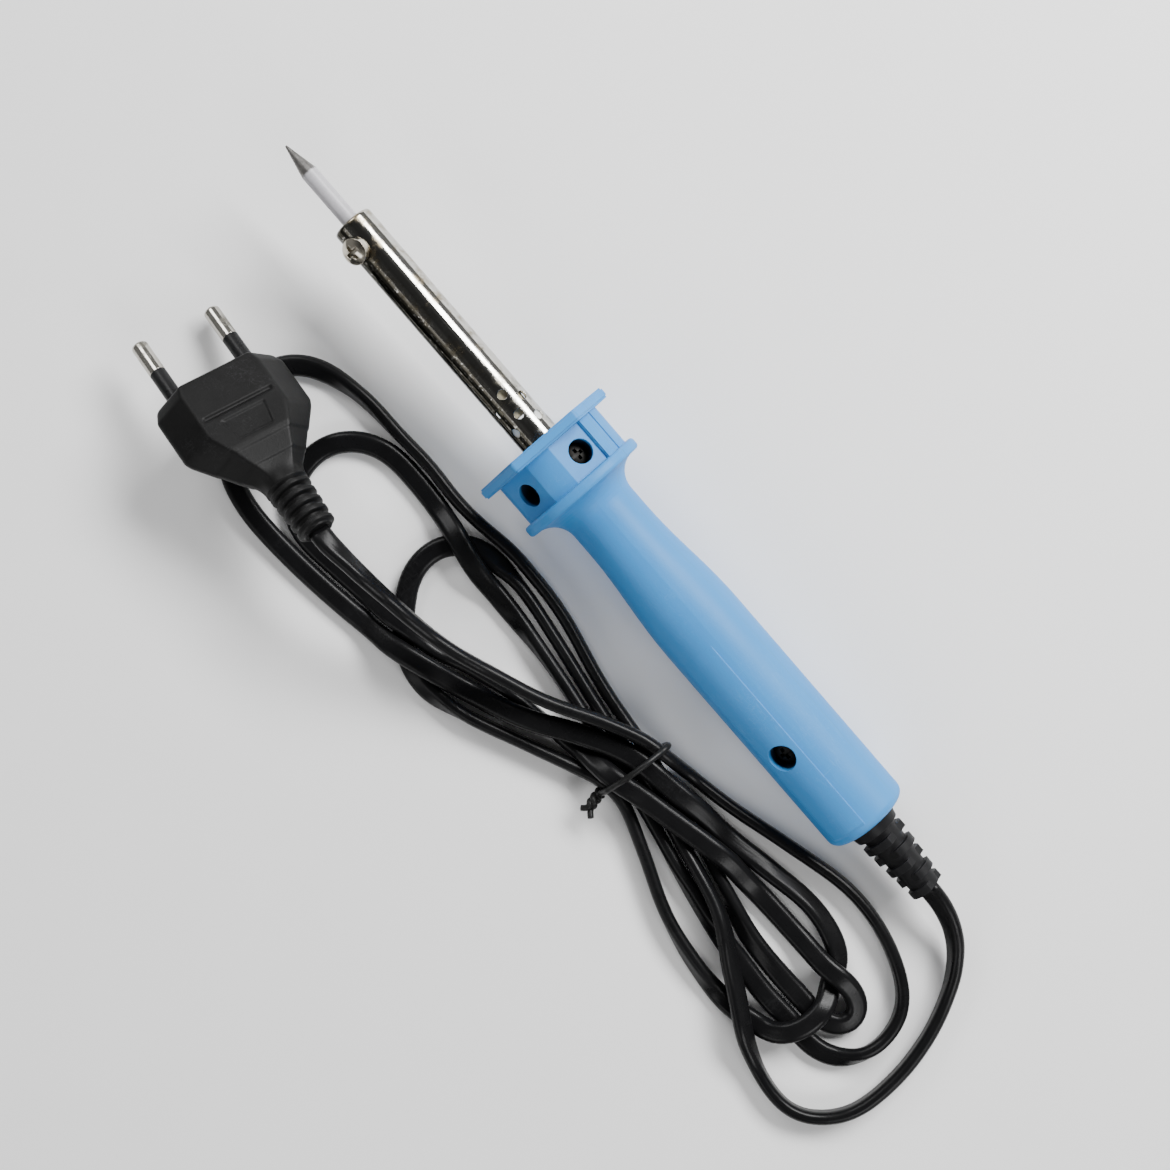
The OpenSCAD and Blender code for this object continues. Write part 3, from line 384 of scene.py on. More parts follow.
def plug_surface(count=260):
    """The plug in its own frame, mm: x out along the pins, z towards its upper face."""
    depth = np.concatenate([np.linspace(0, 3, 16), np.arange(3.25, BODY_L, 0.25),
                            np.linspace(BODY_L, PLUG_L, 91)])
    half_width = np.interp(depth, [0, 3, 15, 16.5, 21.5, 28, 32], [15, 16.5, 16.5, 15.8, 12, 7.2, 5.4])
    half_thick = np.interp(depth, [0, 1, 20, 32], [6.8, 6.85, 6.85, 5.2])
    bevel = 0.4 * half_width
    y, z = plug_outline(half_width, half_thick, bevel[:, None], 0.6, count)
    for _ in range(5):                             # rounds the corners: a moving average round each outline
        y = (np.roll(y, 1, 1) + 2 * y + np.roll(y, -1, 1)) / 4
        z = (np.roll(z, 1, 1) + 2 * z + np.roll(z, -1, 1)) / 4
    for _ in range(3):                             # and along the plug
        y[1:-1] = (y[:-2] + 2 * y[1:-1] + y[2:]) / 4
    into = depth[:, None]
    # The boot: ribs with round crests on a core that thins towards its end.
    a = np.linspace(0, 2 * np.pi, count, endpoint=False)[None]
    past = into - BODY_L
    pitch = BOOT_L / RIBS
    wave = 0.5 - 0.5 * np.cos(2 * np.pi * past / pitch)
    rib = smooth_step(wave, 0.25, 0.75)
    boot_r = 3.75 - 0.02 * past + (1.45 - 0.03 * past) * rib
    round_share = smooth_step(into, 26.5, 32.5)
    boot_r = np.where(past < 0, 5.25, boot_r)
    y = y * (1 - round_share) + boot_r * np.cos(a) * round_share
    z = z * (1 - round_share) + boot_r * np.sin(a) * round_share
    # Two steps run across the tapering part, and the broad faces carry a groove and a panel.
    step = 0.28 * (smooth_step(into, 21.2, 21.6) + smooth_step(into, 25.8, 26.2)) * (1 - round_share)
    size = np.hypot(y, z) + 1e-9
    y, z = y * (1 - step / size), z * (1 - step / size)
    broad = smooth_step(np.abs(z), 3, 4)
    groove = smooth_step(0.75 - np.abs(into - 11), 0, 0.55) * smooth_step(8.9 - np.abs(y), 0, 0.5)
    panel_half = np.interp(into, [13, 19], [5.5, 4.25])
    panel = (smooth_step(into, 12.9, 13.3) * (1 - smooth_step(into, 18.7, 19.1))
             * smooth_step(panel_half - np.abs(y), -0.2, 0.2))
    z = z - np.sign(z) * broad * (0.5 * groove + 0.4 * panel)
    # The face and the boot's end close in with a small radius.
    radius = 0.9
    inset = radius - np.sqrt(np.clip(radius**2 - np.clip(radius - into, 0, None) ** 2, 0, None))
    shrink = 1 - np.clip(inset, 0, None) / np.maximum(np.hypot(y, z), 3)
    y, z = y * shrink, z * shrink
    x = -into + 0 * y
    shares = [0.02, 0.3, 0.6, 0.85, 0.97]
    face = [np.stack([0 * y[0], y[0] * k, z[0] * k], -1) for k in shares]
    end = [np.stack([0 * y[0] - PLUG_L, y[-1] * k, z[-1] * k], -1) for k in shares[::-1]]
    return np.stack([*face, *np.stack([x, y, z], -1), *end])

plug_rings = plug_surface() @ PLUG_TURN.T + PLUG_AT
plug = grid_mesh("plug_moulding", plug_rings[:, ::-1] * MM)
print("plug faces:", len(plug.data.polygons), "lowest in mm:", round(float(plug_rings[..., 2].min()), 2))

# %% Every new piece rides on the iron, and the CAD model's own lead, tie and plug are hidden
for piece in (lead, tie_ring, *tie_tails, plug):
    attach(piece, "root")
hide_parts("lead_loop", "hank_low", "hank_up", "lead_end")
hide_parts("cord_tie")
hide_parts("plug_body")

# %% [markdown]
# ## Table and light
# A small tool is usually shown on a plain pale table under large soft lamps. The bright barrel mirrors its
# surroundings, so the sky straight above is dim, which leaves a dark band along the barrel. The strongest
# lamp stands on the side away from the lead.

# %% Table, lamps and sky
def area_lamp(name, place, size, watts):
    """A white rectangular lamp that looks at the middle of the iron."""
    data = bpy.data.lights.new(name, "AREA")
    data.shape, data.size, data.size_y = "RECTANGLE", size[0], size[1]
    data.energy = watts
    lamp = bpy.data.objects.new(name, data)
    lamp.location = place
    lamp.rotation_mode = "QUATERNION"
    lamp.rotation_quaternion = (Vector((-0.007, 0.014, 0.01)) - Vector(place)).to_track_quat("-Z", "Y")
    bpy.context.scene.collection.objects.link(lamp)

for lamp_row in (("lamp_left", (-0.05, 0.62, 0.42), (0.6, 0.22), 1.0),
                 ("lamp_right", (0.05, -0.6, 0.55), (0.6, 0.26), 13.5),
                 ("lamp_head", (0.75, -0.1, 0.55), (0.4, 0.3), 3.0),
                 ("lamp_foot", (-0.75, 0.1, 0.6), (0.4, 0.3), 3.0)):
    area_lamp(*lamp_row)

table_mesh = bpy.data.meshes.new("table")
table_mesh.from_pydata([(-3, -3, 0), (3, -3, 0), (3, 3, 0), (-3, 3, 0)], [], [(0, 1, 2, 3)])
table = bpy.data.objects.new("table", table_mesh)
bpy.context.scene.collection.objects.link(table)

def node(tree, kind, inputs=None, **settings):
    """Adds a node and sets it up. An input is linked where it is given a socket, and set otherwise."""
    made = tree.nodes.new(kind)
    for key, value in settings.items():
        setattr(made, key, value)
    for key, value in (inputs or {}).items():
        if isinstance(value, bpy.types.NodeSocket):
            tree.links.new(value, made.inputs[key])
        else:
            made.inputs[key].default_value = value
    return made

def make_sky():
    """Brighter near the horizon than straight above: a ramp over the height of the direction seen."""
    world = bpy.data.worlds.new("studio")
    world.use_nodes = True
    tree = world.node_tree
    tree.nodes.clear()
    seen = node(tree, "ShaderNodeTexCoord")
    height = node(tree, "ShaderNodeSeparateXYZ", {"Vector": seen.outputs["Generated"]})
    ramp = node(tree, "ShaderNodeMapRange", {"Value": height.outputs["Z"], "From Min": 0.55, "From Max": 0.98,
                                             "To Min": 0.26, "To Max": 0.04})
    sky = node(tree, "ShaderNodeBackground", {"Color": (1, 1, 1, 1), "Strength": ramp.outputs[0]})
    node(tree, "ShaderNodeOutputWorld", {"Surface": sky.outputs[0]})
    bpy.context.scene.world = world

make_sky()

# %% [markdown]
# ## Effects that several finishes share
# Moulded plastic, plating and flexible plastic all have a fine grain, edges that are rubbed bright, and
# faint scuffs. Each of these is built once as a node group and then placed in every material that has it,
# with that material's own sizes.

# %% Node groups
def make_group(name, inputs, outputs):
    """An empty shader node group: inputs and outputs are (name, kind, value)."""
    tree = bpy.data.node_groups.new(name, "ShaderNodeTree")
    for title, kind, value in inputs:
        socket = tree.interface.new_socket(title, in_out="INPUT", socket_type=kind)
        if value is not None:
            socket.default_value = value
    for title, kind in outputs:
        tree.interface.new_socket(title, in_out="OUTPUT", socket_type=kind)
    return tree, tree.nodes.new("NodeGroupInput"), tree.nodes.new("NodeGroupOutput")

FLOAT, VECTOR = "NodeSocketFloat", "NodeSocketVector"

def moulded_grain():
    """Height of a fine pebbled skin: two sizes of noise added, the finer at half weight."""
    tree, given, made = make_group("moulded_grain", [("Vector", VECTOR, None), ("Scale", FLOAT, 2500.0)],
                                   [("Height", FLOAT)])
    coarse = node(tree, "ShaderNodeTexNoise", {"Vector": given.outputs[0], "Scale": given.outputs[1],
                                               "Detail": 2.0})
    double = node(tree, "ShaderNodeMath", {0: given.outputs[1], 1: 2.7}, operation="MULTIPLY")
    fine_noise = node(tree, "ShaderNodeTexVoronoi", {"Vector": given.outputs[0], "Scale": double.outputs[0]})
    half = node(tree, "ShaderNodeMath", {0: fine_noise.outputs["Distance"], 1: 0.5, 2: coarse.outputs[0]},
                operation="MULTIPLY_ADD")
    tree.links.new(half.outputs[0], made.inputs[0])
    return tree

def worn_edges():
    """1 on sharp edges and 0 on flats: how far the normal of a rounded copy turns from the true one,
    broken up by noise so that the wear isn't even."""
    tree, given, made = make_group("worn_edges", [("Vector", VECTOR, None), ("Radius", FLOAT, 0.0003),
                                                  ("Breakup", FLOAT, 900.0)], [("Mask", FLOAT)])
    rounded = node(tree, "ShaderNodeBevel", {"Radius": given.outputs[1]}, samples=6)
    flat = node(tree, "ShaderNodeNewGeometry")
    facing = node(tree, "ShaderNodeVectorMath", {0: rounded.outputs[0], 1: flat.outputs["Normal"]},
                  operation="DOT_PRODUCT")
    turned_by = node(tree, "ShaderNodeMapRange", {"Value": facing.outputs["Value"], "From Min": 0.985,
                                                  "From Max": 0.86, "To Min": 0.0, "To Max": 1.0})
    breakup = node(tree, "ShaderNodeTexNoise", {"Vector": given.outputs[0], "Scale": given.outputs[2],
                                                "Detail": 3.0})
    uneven = node(tree, "ShaderNodeMapRange", {"Value": breakup.outputs[0], "From Min": 0.38,
                                               "From Max": 0.62, "To Min": 0.25, "To Max": 1.0})
    mask = node(tree, "ShaderNodeMath", {0: turned_by.outputs[0], 1: uneven.outputs[0]},
                operation="MULTIPLY")
    tree.links.new(mask.outputs[0], made.inputs[0])
    return tree

def scuffs():
    """Thin marks in two directions: stretched noise, kept only where it crosses a narrow band."""
    tree, given, made = make_group("scuffs", [("Vector", VECTOR, None), ("Scale", FLOAT, 60.0)],
                                   [("Mask", FLOAT), ("Smudge", FLOAT)])
    marks = []
    for turn, stretch in (((0.3, 0.2, 0.5), (1, 14, 14)), ((0.1, 0.9, 1.9), (12, 1, 12))):
        place = node(tree, "ShaderNodeMapping", {"Vector": given.outputs[0], "Rotation": turn,
                                                 "Scale": stretch})
        noise = node(tree, "ShaderNodeTexNoise", {"Vector": place.outputs[0], "Scale": given.outputs[1],
                                                  "Detail": 3.0})
        off = node(tree, "ShaderNodeMath", {0: noise.outputs[0], 1: 0.5}, operation="SUBTRACT")
        size = node(tree, "ShaderNodeMath", {0: off.outputs[0]}, operation="ABSOLUTE")
        marks.append(node(tree, "ShaderNodeMapRange", {"Value": size.outputs[0], "From Min": 0.0,
                                                       "From Max": 0.012, "To Min": 1.0, "To Max": 0.0}))
    both = node(tree, "ShaderNodeMath", {0: marks[0].outputs[0], 1: marks[1].outputs[0]},
                operation="MAXIMUM")
    patch = node(tree, "ShaderNodeTexNoise", {"Vector": given.outputs[0], "Scale": given.outputs[1],
                                              "Detail": 2.0})
    where = node(tree, "ShaderNodeMapRange", {"Value": patch.outputs[0], "From Min": 0.5, "From Max": 0.68,
                                              "To Min": 0.0, "To Max": 1.0})
    mask = node(tree, "ShaderNodeMath", {0: both.outputs[0], 1: where.outputs[0]}, operation="MULTIPLY")
    tree.links.new(mask.outputs[0], made.inputs[0])
    tree.links.new(patch.outputs[0], made.inputs[1])
    return tree

def iron_place():
    """A point's place on the iron: Along is the distance behind the tip's point, Radius the distance from
    the axis and Roll the angle round it in degrees, 0 up and +90 towards +Y."""
    tree, given, made = make_group("iron_place", [("Vector", VECTOR, None)],
                                   [("Along", FLOAT), ("Radius", FLOAT), ("Roll", FLOAT), ("Local", VECTOR)])
    local = node(tree, "ShaderNodeMapping", {"Vector": given.outputs[0], "Location": tuple(POINT * MM),
                                             "Rotation": (0, -TILT, 0)}, vector_type="TEXTURE")
    part = node(tree, "ShaderNodeSeparateXYZ", {"Vector": local.outputs[0]})
    along = node(tree, "ShaderNodeMath", {0: part.outputs["X"], 1: -1.0}, operation="MULTIPLY")
    square = node(tree, "ShaderNodeCombineXYZ", {"Y": part.outputs["Y"], "Z": part.outputs["Z"]})
    radius = node(tree, "ShaderNodeVectorMath", {0: square.outputs[0]}, operation="LENGTH")
    angle = node(tree, "ShaderNodeMath", {0: part.outputs["Y"], 1: part.outputs["Z"]}, operation="ARCTAN2")
    roll = node(tree, "ShaderNodeMath", {0: angle.outputs[0]}, operation="DEGREES")
    for i, socket in enumerate((along.outputs[0], radius.outputs["Value"], roll.outputs[0],
                                local.outputs[0])):
        tree.links.new(socket, made.inputs[i])
    return tree

groups = {tree.name: tree for tree in (moulded_grain(), worn_edges(), scuffs(), iron_place())}
print("groups:", sorted(groups))

# %% [markdown]
# ## Finishes
# Each finish is one Principled shader. Constant numbers are set on the shader itself; only what changes
# over the surface is linked. A short helper makes the empty material and gives its Object coordinates.

# %% Start of a material
def start_material(name, **shader_inputs):
    """A material with a Principled shader. Returns the material, its tree, the shader and the Object
    coordinate socket. Keyword names are socket names with _ for a space."""
    material = bpy.data.materials.new(name)
    material.use_nodes = True
    tree = material.node_tree
    tree.nodes.clear()
    shader = tree.nodes.new("ShaderNodeBsdfPrincipled")
    out = tree.nodes.new("ShaderNodeOutputMaterial")
    tree.links.new(shader.outputs[0], out.inputs[0])
    for key, value in shader_inputs.items():
        shader.inputs[key.replace("_", " ")].default_value = value
    place = node(tree, "ShaderNodeTexCoord")
    return material, tree, shader, place.outputs["Object"]

def use(tree, name, **values):
    """Places a shared group; keyword names are its input names."""
    return node(tree, "ShaderNodeGroup", values, node_tree=groups[name])

def mix_colour(tree, share, first, second):
    """first where share is 0 and second where it is 1."""
    made = node(tree, "ShaderNodeMix", {0: share, 6: first, 7: second}, data_type="RGBA")
    return made.outputs[2]

def mix_value(tree, share, low, high):
    """low where share is 0 and high where it is 1."""
    return node(tree, "ShaderNodeMapRange", {"Value": share, "To Min": low, "To Max": high}).outputs[0]

def bump_from(tree, height, distance, strength=1.0, rounded=0.0):
    """Normal of a height map, on edges that are rounded by the given radius."""
    settings = {"Height": height, "Distance": distance, "Strength": strength}
    if rounded:
        settings["Normal"] = node(tree, "ShaderNodeBevel", {"Radius": rounded}, samples=6).outputs[0]
    return node(tree, "ShaderNodeBump", settings).outputs[0]

def band_mask(tree, value, centre, half, fade):
    """1 where value is within half of centre, fading to 0 over fade."""
    off = node(tree, "ShaderNodeMath", {0: value, 1: centre}, operation="SUBTRACT")
    size = node(tree, "ShaderNodeMath", {0: off.outputs[0]}, operation="ABSOLUTE")
    ramp = {"Value": size.outputs[0], "From Min": half, "From Max": half + fade, "To Min": 1.0, "To Max": 0.0}
    return node(tree, "ShaderNodeMapRange", ramp).outputs[0]

def product(tree, *values):
    """All the values multiplied together."""
    total = values[0]
    for value in values[1:]:
        total = node(tree, "ShaderNodeMath", {0: total, 1: value}, operation="MULTIPLY").outputs[0]
    return total

# %% [markdown]
# ### Pale blue plastic of the handle
# A faint line runs along the handle on both sides, where the halves of its mould met. Its skin is satin
# with a very fine grain, a little paler where it is rubbed, and its screw wells take painted shade, near
# black. The line is drawn by roll angle, so it runs true along the iron's own axis.

# %% Handle plastic
SEAM_ROLLS = (-48.0, 132.0)                        # where the mould line runs, degrees
# Wells in the neck and the grip, where shade is painted: centre, half width and fade,
# behind the point and from the axis, m.
WELLS = (((0.0951, 0.0052, 0.0002), (0.006, 0.0063, 0.0007)),
         ((0.1775, 0.005, 0.0005), (0.006, 0.0031, 0.0007)))

def blue_plastic():
    """Two close blues in clouds, paler where rubbed, with the mould line and painted shade in the wells."""
    material, tree, shader, place = start_material("blue_plastic", Specular_IOR_Level=0.28)
    on_iron = use(tree, "iron_place", Vector=place)
    along, radius, roll, local = (on_iron.outputs[i] for i in range(4))
    cloud = node(tree, "ShaderNodeTexNoise", {"Vector": local, "Scale": 45.0, "Detail": 4.0})
    base = mix_colour(tree, cloud.outputs[0], (0.032, 0.225, 0.560, 1), (0.044, 0.262, 0.620, 1))
    worn = use(tree, "worn_edges", Vector=local, Radius=0.0004, Breakup=700.0)
    base = mix_colour(tree, product(tree, worn.outputs[0], 0.45), base, (0.13, 0.39, 0.74, 1))
    marks = use(tree, "scuffs", Vector=local, Scale=55.0)
    base = mix_colour(tree, product(tree, marks.outputs["Mask"], 0.25), base, (0.14, 0.40, 0.74, 1))
    seam = [band_mask(tree, roll, centre, 0.35, 0.6) for centre in SEAM_ROLLS]
    seam = node(tree, "ShaderNodeMath", {0: seam[0], 1: seam[1]}, operation="MAXIMUM").outputs[0]
    base = mix_colour(tree, product(tree, seam, 0.35), base, (0.07, 0.22, 0.38, 1))
    # Wells: nearer the axis than the neck's flats, or than the grip's skin round the clamp screw.
    wells = [product(tree, band_mask(tree, along, *lengthwise), band_mask(tree, radius, *outwards))
             for lengthwise, outwards in WELLS]
    # Painted shade: the wells are coloured near black, for the shade inside them.
    painted_well_shade = node(tree, "ShaderNodeMath", {0: wells[0], 1: wells[1]}, operation="MAXIMUM").outputs[0]
    base = mix_colour(tree, product(tree, painted_well_shade, 0.96), base, (0.010, 0.014, 0.02, 1))
    tree.links.new(base, shader.inputs["Base Color"])
    tree.links.new(mix_value(tree, marks.outputs["Smudge"], 0.40, 0.56), shader.inputs["Roughness"])
    grain = use(tree, "moulded_grain", Vector=local, Scale=1700.0)
    height = node(tree, "ShaderNodeMath", {0: seam, 1: -0.9, 2: grain.outputs[0]}, operation="MULTIPLY_ADD")
    tree.links.new(bump_from(tree, height.outputs[0], 0.00003, 0.8, rounded=0.0003), shader.inputs["Normal"])
    return material

# %% [markdown]
# ### Bright barrel, tip and pins
# The barrel is thin steel tube, drawn, polished and plated. Up close it mirrors, with fine lines along its
# length and small dull patches where heat has been at work. The tip's cone has been tinned and has oxidised
# to grey, while its shank keeps a pale satin plating.

# %% Plated metals
def plated(name, colour, dull_colour, smooth, rough, lines=(30, 900, 900), heat=0.0):
    """Bright plating: drawn lines are noise stretched along the iron, and dull patches are large noise."""
    material, tree, shader, place = start_material(name, Metallic=1.0)
    local = use(tree, "iron_place", Vector=place).outputs["Local"]
    drawn = node(tree, "ShaderNodeMapping", {"Vector": local, "Scale": lines})
    streak = node(tree, "ShaderNodeTexNoise", {"Vector": drawn.outputs[0], "Scale": 3.0, "Detail": 5.0})
    patch = node(tree, "ShaderNodeTexNoise", {"Vector": local, "Scale": 240.0, "Detail": 6.0,
                                              "Roughness": 0.7})
    dull = node(tree, "ShaderNodeMapRange", {"Value": patch.outputs[0], "From Min": 0.5, "From Max": 0.66})
    marks = use(tree, "scuffs", Vector=local, Scale=160.0)
    base = mix_colour(tree, dull.outputs[0], colour, dull_colour)
    if heat:
        # Heat has browned the plate near the tip. On the side towards the lead, which is +Y, a dark
        # reflection
        # is painted: a near-black band along the barrel, broken by paler flecks.
        on_iron = use(tree, "iron_place", Vector=place)
        along, roll = on_iron.outputs["Along"], on_iron.outputs["Roll"]
        warm = product(tree, band_mask(tree, along, 0.03, 0.02, 0.03), dull.outputs[0], heat)
        base = mix_colour(tree, warm, base, (0.42, 0.33, 0.20, 1))
        speck = node(tree, "ShaderNodeTexNoise", {"Vector": local, "Scale": 1400.0, "Detail": 4.0})
        reflection_flecks = node(tree, "ShaderNodeMapRange", {"Value": speck.outputs[0], "From Min": 0.58,
                                                  "From Max": 0.70, "To Min": 1.0, "To Max": 0.35})
        painted_dark_reflection = product(tree, band_mask(tree, roll, 82.0, 52.0, 28.0), reflection_flecks.outputs[0], 0.97)
        base = mix_colour(tree, painted_dark_reflection, base, (0.035, 0.032, 0.024, 1))
    tree.links.new(base, shader.inputs["Base Color"])
    total = node(tree, "ShaderNodeMath", {0: dull.outputs[0], 1: marks.outputs["Mask"]}, operation="MAXIMUM")
    tree.links.new(mix_value(tree, total.outputs[0], smooth, rough), shader.inputs["Roughness"])
    height = node(tree, "ShaderNodeMath", {0: patch.outputs[0], 1: 0.8, 2: streak.outputs[0]},
                  operation="MULTIPLY_ADD")
    normal = bump_from(tree, height.outputs[0], 0.00003, 0.55, rounded=0.00015)
    tree.links.new(normal, shader.inputs["Normal"])
    return material

def tip_finish():
    """Oxidised grey on the cone and pale satin on the shank, with a ragged edge between them."""
    material, tree, shader, place = start_material("tip_plating")
    on_iron = use(tree, "iron_place", Vector=place)
    along, local = on_iron.outputs["Along"], on_iron.outputs["Local"]
    ragged = node(tree, "ShaderNodeTexNoise", {"Vector": local, "Scale": 1500.0, "Detail": 3.0})
    edge = node(tree, "ShaderNodeMath", {0: ragged.outputs[0], 1: 0.0006, 2: along}, operation="MULTIPLY_ADD")
    shank = node(tree, "ShaderNodeMapRange", {"Value": edge.outputs[0], "From Min": 0.0080,
                                              "From Max": 0.0086})
    grey = mix_colour(tree, ragged.outputs[0], (0.09, 0.088, 0.084, 1), (0.24, 0.23, 0.22, 1))
    pale = mix_colour(tree, ragged.outputs[0], (0.40, 0.39, 0.41, 1), (0.50, 0.49, 0.52, 1))
    tree.links.new(mix_colour(tree, shank.outputs[0], grey, pale), shader.inputs["Base Color"])
    tree.links.new(mix_value(tree, shank.outputs[0], 0.85, 0.05), shader.inputs["Metallic"])
    tree.links.new(mix_value(tree, ragged.outputs[0], 0.32, 0.55), shader.inputs["Roughness"])
    tree.links.new(bump_from(tree, ragged.outputs[0], 0.00005, 0.5), shader.inputs["Normal"])
    return material

# %% [markdown]
# ### Black flexible plastic
# The lead, the strain relief and the plug are soft PVC. The lead is drawn through a die, which leaves long
# fine lines that catch the light, so its pattern follows the UV map: U runs along it. The moulded pieces
# have a grain instead and are rubbed a little paler on their edges.

# %% Lead, moulded PVC and tie
def lead_pvc():
    """Near black with dusty clouds and scuffs, and fine lines along the lead from its UV map."""
    material, tree, shader, place = start_material("lead_pvc", Specular_IOR_Level=0.15)
    uv = node(tree, "ShaderNodeTexCoord").outputs["UV"]
    die = node(tree, "ShaderNodeMapping", {"Vector": uv, "Scale": (18, 42, 1)})
    lines = node(tree, "ShaderNodeTexNoise", {"Vector": die.outputs[0], "Scale": 1.0, "Detail": 3.0})
    dust = node(tree, "ShaderNodeTexNoise", {"Vector": place, "Scale": 90.0, "Detail": 5.0,
                                             "Roughness": 0.65})
    marks = use(tree, "scuffs", Vector=place, Scale=70.0)
    base = mix_colour(tree, dust.outputs[0], (0.0030, 0.0030, 0.0033, 1), (0.0080, 0.0080, 0.0085, 1))
    base = mix_colour(tree, product(tree, marks.outputs["Mask"], 0.5), base, (0.022, 0.022, 0.023, 1))
    tree.links.new(base, shader.inputs["Base Color"])
    tree.links.new(mix_value(tree, dust.outputs[0], 0.20, 0.36), shader.inputs["Roughness"])
    grain = use(tree, "moulded_grain", Vector=place, Scale=1300.0)
    height = node(tree, "ShaderNodeMath", {0: lines.outputs[0], 1: 2.2, 2: grain.outputs[0]},
                  operation="MULTIPLY_ADD")
    tree.links.new(bump_from(tree, height.outputs[0], 0.00003, 0.5), shader.inputs["Normal"])
    return material

def moulded_pvc(name, dark, pale, rubbed, grain_scale, smooth=0.36, rough=0.55, rounded=0.0002):
    """Moulded PVC: two close shades in clouds, rubbed paler on its edges, with a pebbled grain."""
    material, tree, shader, place = start_material(name, Specular_IOR_Level=0.16)
    cloud = node(tree, "ShaderNodeTexNoise", {"Vector": place, "Scale": 150.0, "Detail": 5.0})
    worn = use(tree, "worn_edges", Vector=place, Radius=0.0004, Breakup=800.0)
    marks = use(tree, "scuffs", Vector=place, Scale=90.0)
    base = mix_colour(tree, cloud.outputs[0], dark, pale)
    touched = node(tree, "ShaderNodeMath", {0: worn.outputs[0], 1: marks.outputs["Mask"]},
                   operation="MAXIMUM")
    base = mix_colour(tree, product(tree, touched.outputs[0], 0.5), base, rubbed)
    tree.links.new(base, shader.inputs["Base Color"])
    tree.links.new(mix_value(tree, cloud.outputs[0], smooth, rough), shader.inputs["Roughness"])
    grain = use(tree, "moulded_grain", Vector=place, Scale=grain_scale)
    tree.links.new(bump_from(tree, grain.outputs[0], 0.00004, 0.6, rounded=rounded), shader.inputs["Normal"])
    return material

# %% [markdown]
# ### Table, and the pieces inside
# The heating element, its insulators and the wires are hidden until the iron is opened, but they have
# finishes of their own too: dull ceramic, layered mica, oxidised wire and woven sleeving.

# %% Inner pieces and table
def plain_finish(name, first, second, metallic, smooth, rough, scale, stretch=(1, 1, 1), depth=0.00003):
    """Two shades mixed by noise that may be stretched, with the same noise as its relief."""
    material, tree, shader, place = start_material(name, Metallic=metallic)
    placed = node(tree, "ShaderNodeMapping", {"Vector": place, "Scale": stretch})
    noise = node(tree, "ShaderNodeTexNoise", {"Vector": placed.outputs[0], "Scale": scale, "Detail": 4.0})
    worn = use(tree, "worn_edges", Vector=place, Radius=0.0002, Breakup=1200.0)
    base = mix_colour(tree, noise.outputs[0], first, second)
    base = mix_colour(tree, product(tree, worn.outputs[0], 0.3), base, tuple(min(1, c * 1.4) for c in second))
    tree.links.new(base, shader.inputs["Base Color"])
    tree.links.new(mix_value(tree, noise.outputs[0], smooth, rough), shader.inputs["Roughness"])
    tree.links.new(bump_from(tree, noise.outputs[0], depth, 0.6, rounded=0.0001), shader.inputs["Normal"])
    return material

def opaque(row):
    """The row with its first two or three colours given an alpha of 1."""
    return [(*value, 1) if isinstance(value, tuple) and place < 3 else value
            for place, value in enumerate(row)]

# Colour, dull colour, least and most roughness, and the scale of the drawn lines on each axis.
plated_rows = {
    "barrel_chrome": ((0.52, 0.51, 0.48), (0.16, 0.155, 0.13), 0.06, 0.30),
    "nickel_screw": ((0.58, 0.54, 0.46), (0.26, 0.23, 0.17), 0.14, 0.36, (300, 300, 300)),
    "pin_nickel": ((0.48, 0.46, 0.42), (0.20, 0.19, 0.16), 0.16, 0.40, (400, 400, 400)),
}
# Dark shade, pale shade, rubbed shade, grain, then roughness from and to, and the rounding of edges.
moulded_rows = {
    "plug_pvc": ((0.0030, 0.0030, 0.0030), (0.0065, 0.0065, 0.0066), (0.035, 0.035, 0.037), 1500.0),
    "relief_pvc": ((0.0045, 0.0045, 0.0050), (0.0090, 0.0090, 0.0098), (0.032, 0.032, 0.035), 1500.0),
    "tie_plastic": ((0.007, 0.007, 0.007), (0.014, 0.014, 0.014), (0.05, 0.05, 0.05), 2500.0,
                    0.25, 0.4, 0.0),
    "pin_sleeve_plastic": ((0.008, 0.008, 0.008), (0.015, 0.015, 0.016), (0.05, 0.05, 0.05), 2600.0,
                           0.22, 0.38),
}
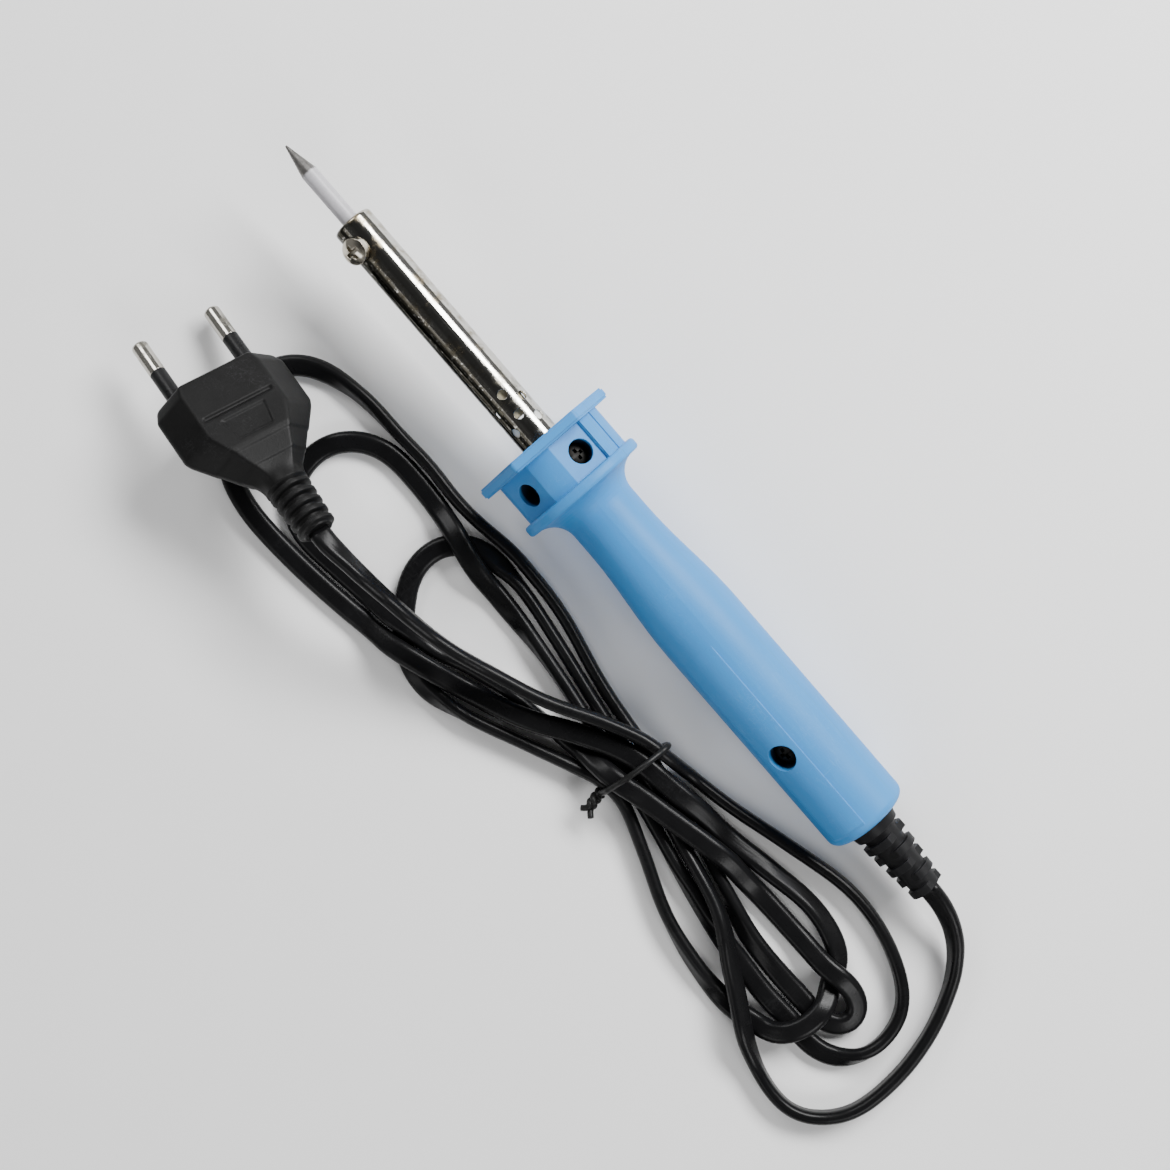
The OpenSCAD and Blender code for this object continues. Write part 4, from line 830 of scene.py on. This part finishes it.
# First shade, second shade, metallic, roughness from and to, noise scale, stretch and depth.
plain_rows = {
    # Near black: painted shade, so the collar's screws at the bottom of the neck's wells read dark.
    "collar_steel": ((0.012, 0.012, 0.012), (0.034, 0.033, 0.031), 1.0, 0.45, 0.65, 600.0),
    "washer_steel": ((0.30, 0.28, 0.25), (0.46, 0.44, 0.40), 1.0, 0.25, 0.45, 900.0),
    "bush_brass": ((0.48, 0.38, 0.20), (0.66, 0.54, 0.30), 1.0, 0.25, 0.4, 500.0, (8, 1, 1)),
    "element_steel": ((0.34, 0.33, 0.31), (0.52, 0.50, 0.47), 1.0, 0.3, 0.5, 500.0, (1, 6, 6)),
    "mica": ((0.50, 0.44, 0.30), (0.70, 0.64, 0.48), 0.0, 0.3, 0.6, 300.0, (1, 9, 9)),
    "heating_wire": ((0.10, 0.09, 0.085), (0.22, 0.20, 0.18), 0.9, 0.4, 0.7, 1500.0),
    "white_ceramic": ((0.72, 0.70, 0.64), (0.86, 0.84, 0.79), 0.0, 0.55, 0.8, 1200.0),
    "glass_sleeving": ((0.66, 0.63, 0.55), (0.86, 0.84, 0.77), 0.0, 0.6, 0.85, 2200.0, (1, 3, 3), 0.0001),
    "tinned_crimp": ((0.56, 0.55, 0.52), (0.74, 0.73, 0.70), 1.0, 0.25, 0.45, 900.0),
    "brown_core": ((0.055, 0.022, 0.010), (0.085, 0.036, 0.017), 0.0, 0.25, 0.4, 400.0),
    "blue_core": ((0.010, 0.035, 0.20), (0.016, 0.055, 0.28), 0.0, 0.25, 0.4, 400.0),
    "clamp_plastic": ((0.60, 0.58, 0.50), (0.72, 0.70, 0.62), 0.0, 0.4, 0.6, 500.0),
}
finishes = {"blue_plastic": blue_plastic(), "tip_plating": tip_finish(), "lead_pvc": lead_pvc()}
# Only the barrel takes the heat tint and the painted dark reflection on its +Y side.
for name, row in plated_rows.items():
    finishes[name] = plated(name, *opaque(row), heat=0.5 if name == "barrel_chrome" else 0.0)
for make, rows in ((moulded_pvc, moulded_rows), (plain_finish, plain_rows)):
    for name, row in rows.items():
        finishes[name] = make(name, *opaque(row))
table_paint = plain_finish("table_paint", (0.93, 0.93, 0.93, 1), (0.96, 0.96, 0.96, 1), 0.0, 0.7, 0.8, 40.0)
table.data.materials.append(table_paint)
print("finishes:", len(finishes))

# %% Each CAD node takes its slot's finish, and so does each new piece
slot_of = {part["node"]: part["material_slot"] for part in frame["record"]["subparts"]}
for name, thing in nodes.items():
    thing.data.materials.clear()
    thing.data.materials.append(finishes[slot_of[name]])
for piece, finish in ((lead, "lead_pvc"), (plug, "plug_pvc"), (tie_ring, "tie_plastic"),
                      (tie_tails[0], "tie_plastic"), (tie_tails[1], "tie_plastic")):
    piece.data.materials.append(finishes[finish])
print("dressed:", len(nodes), "nodes")
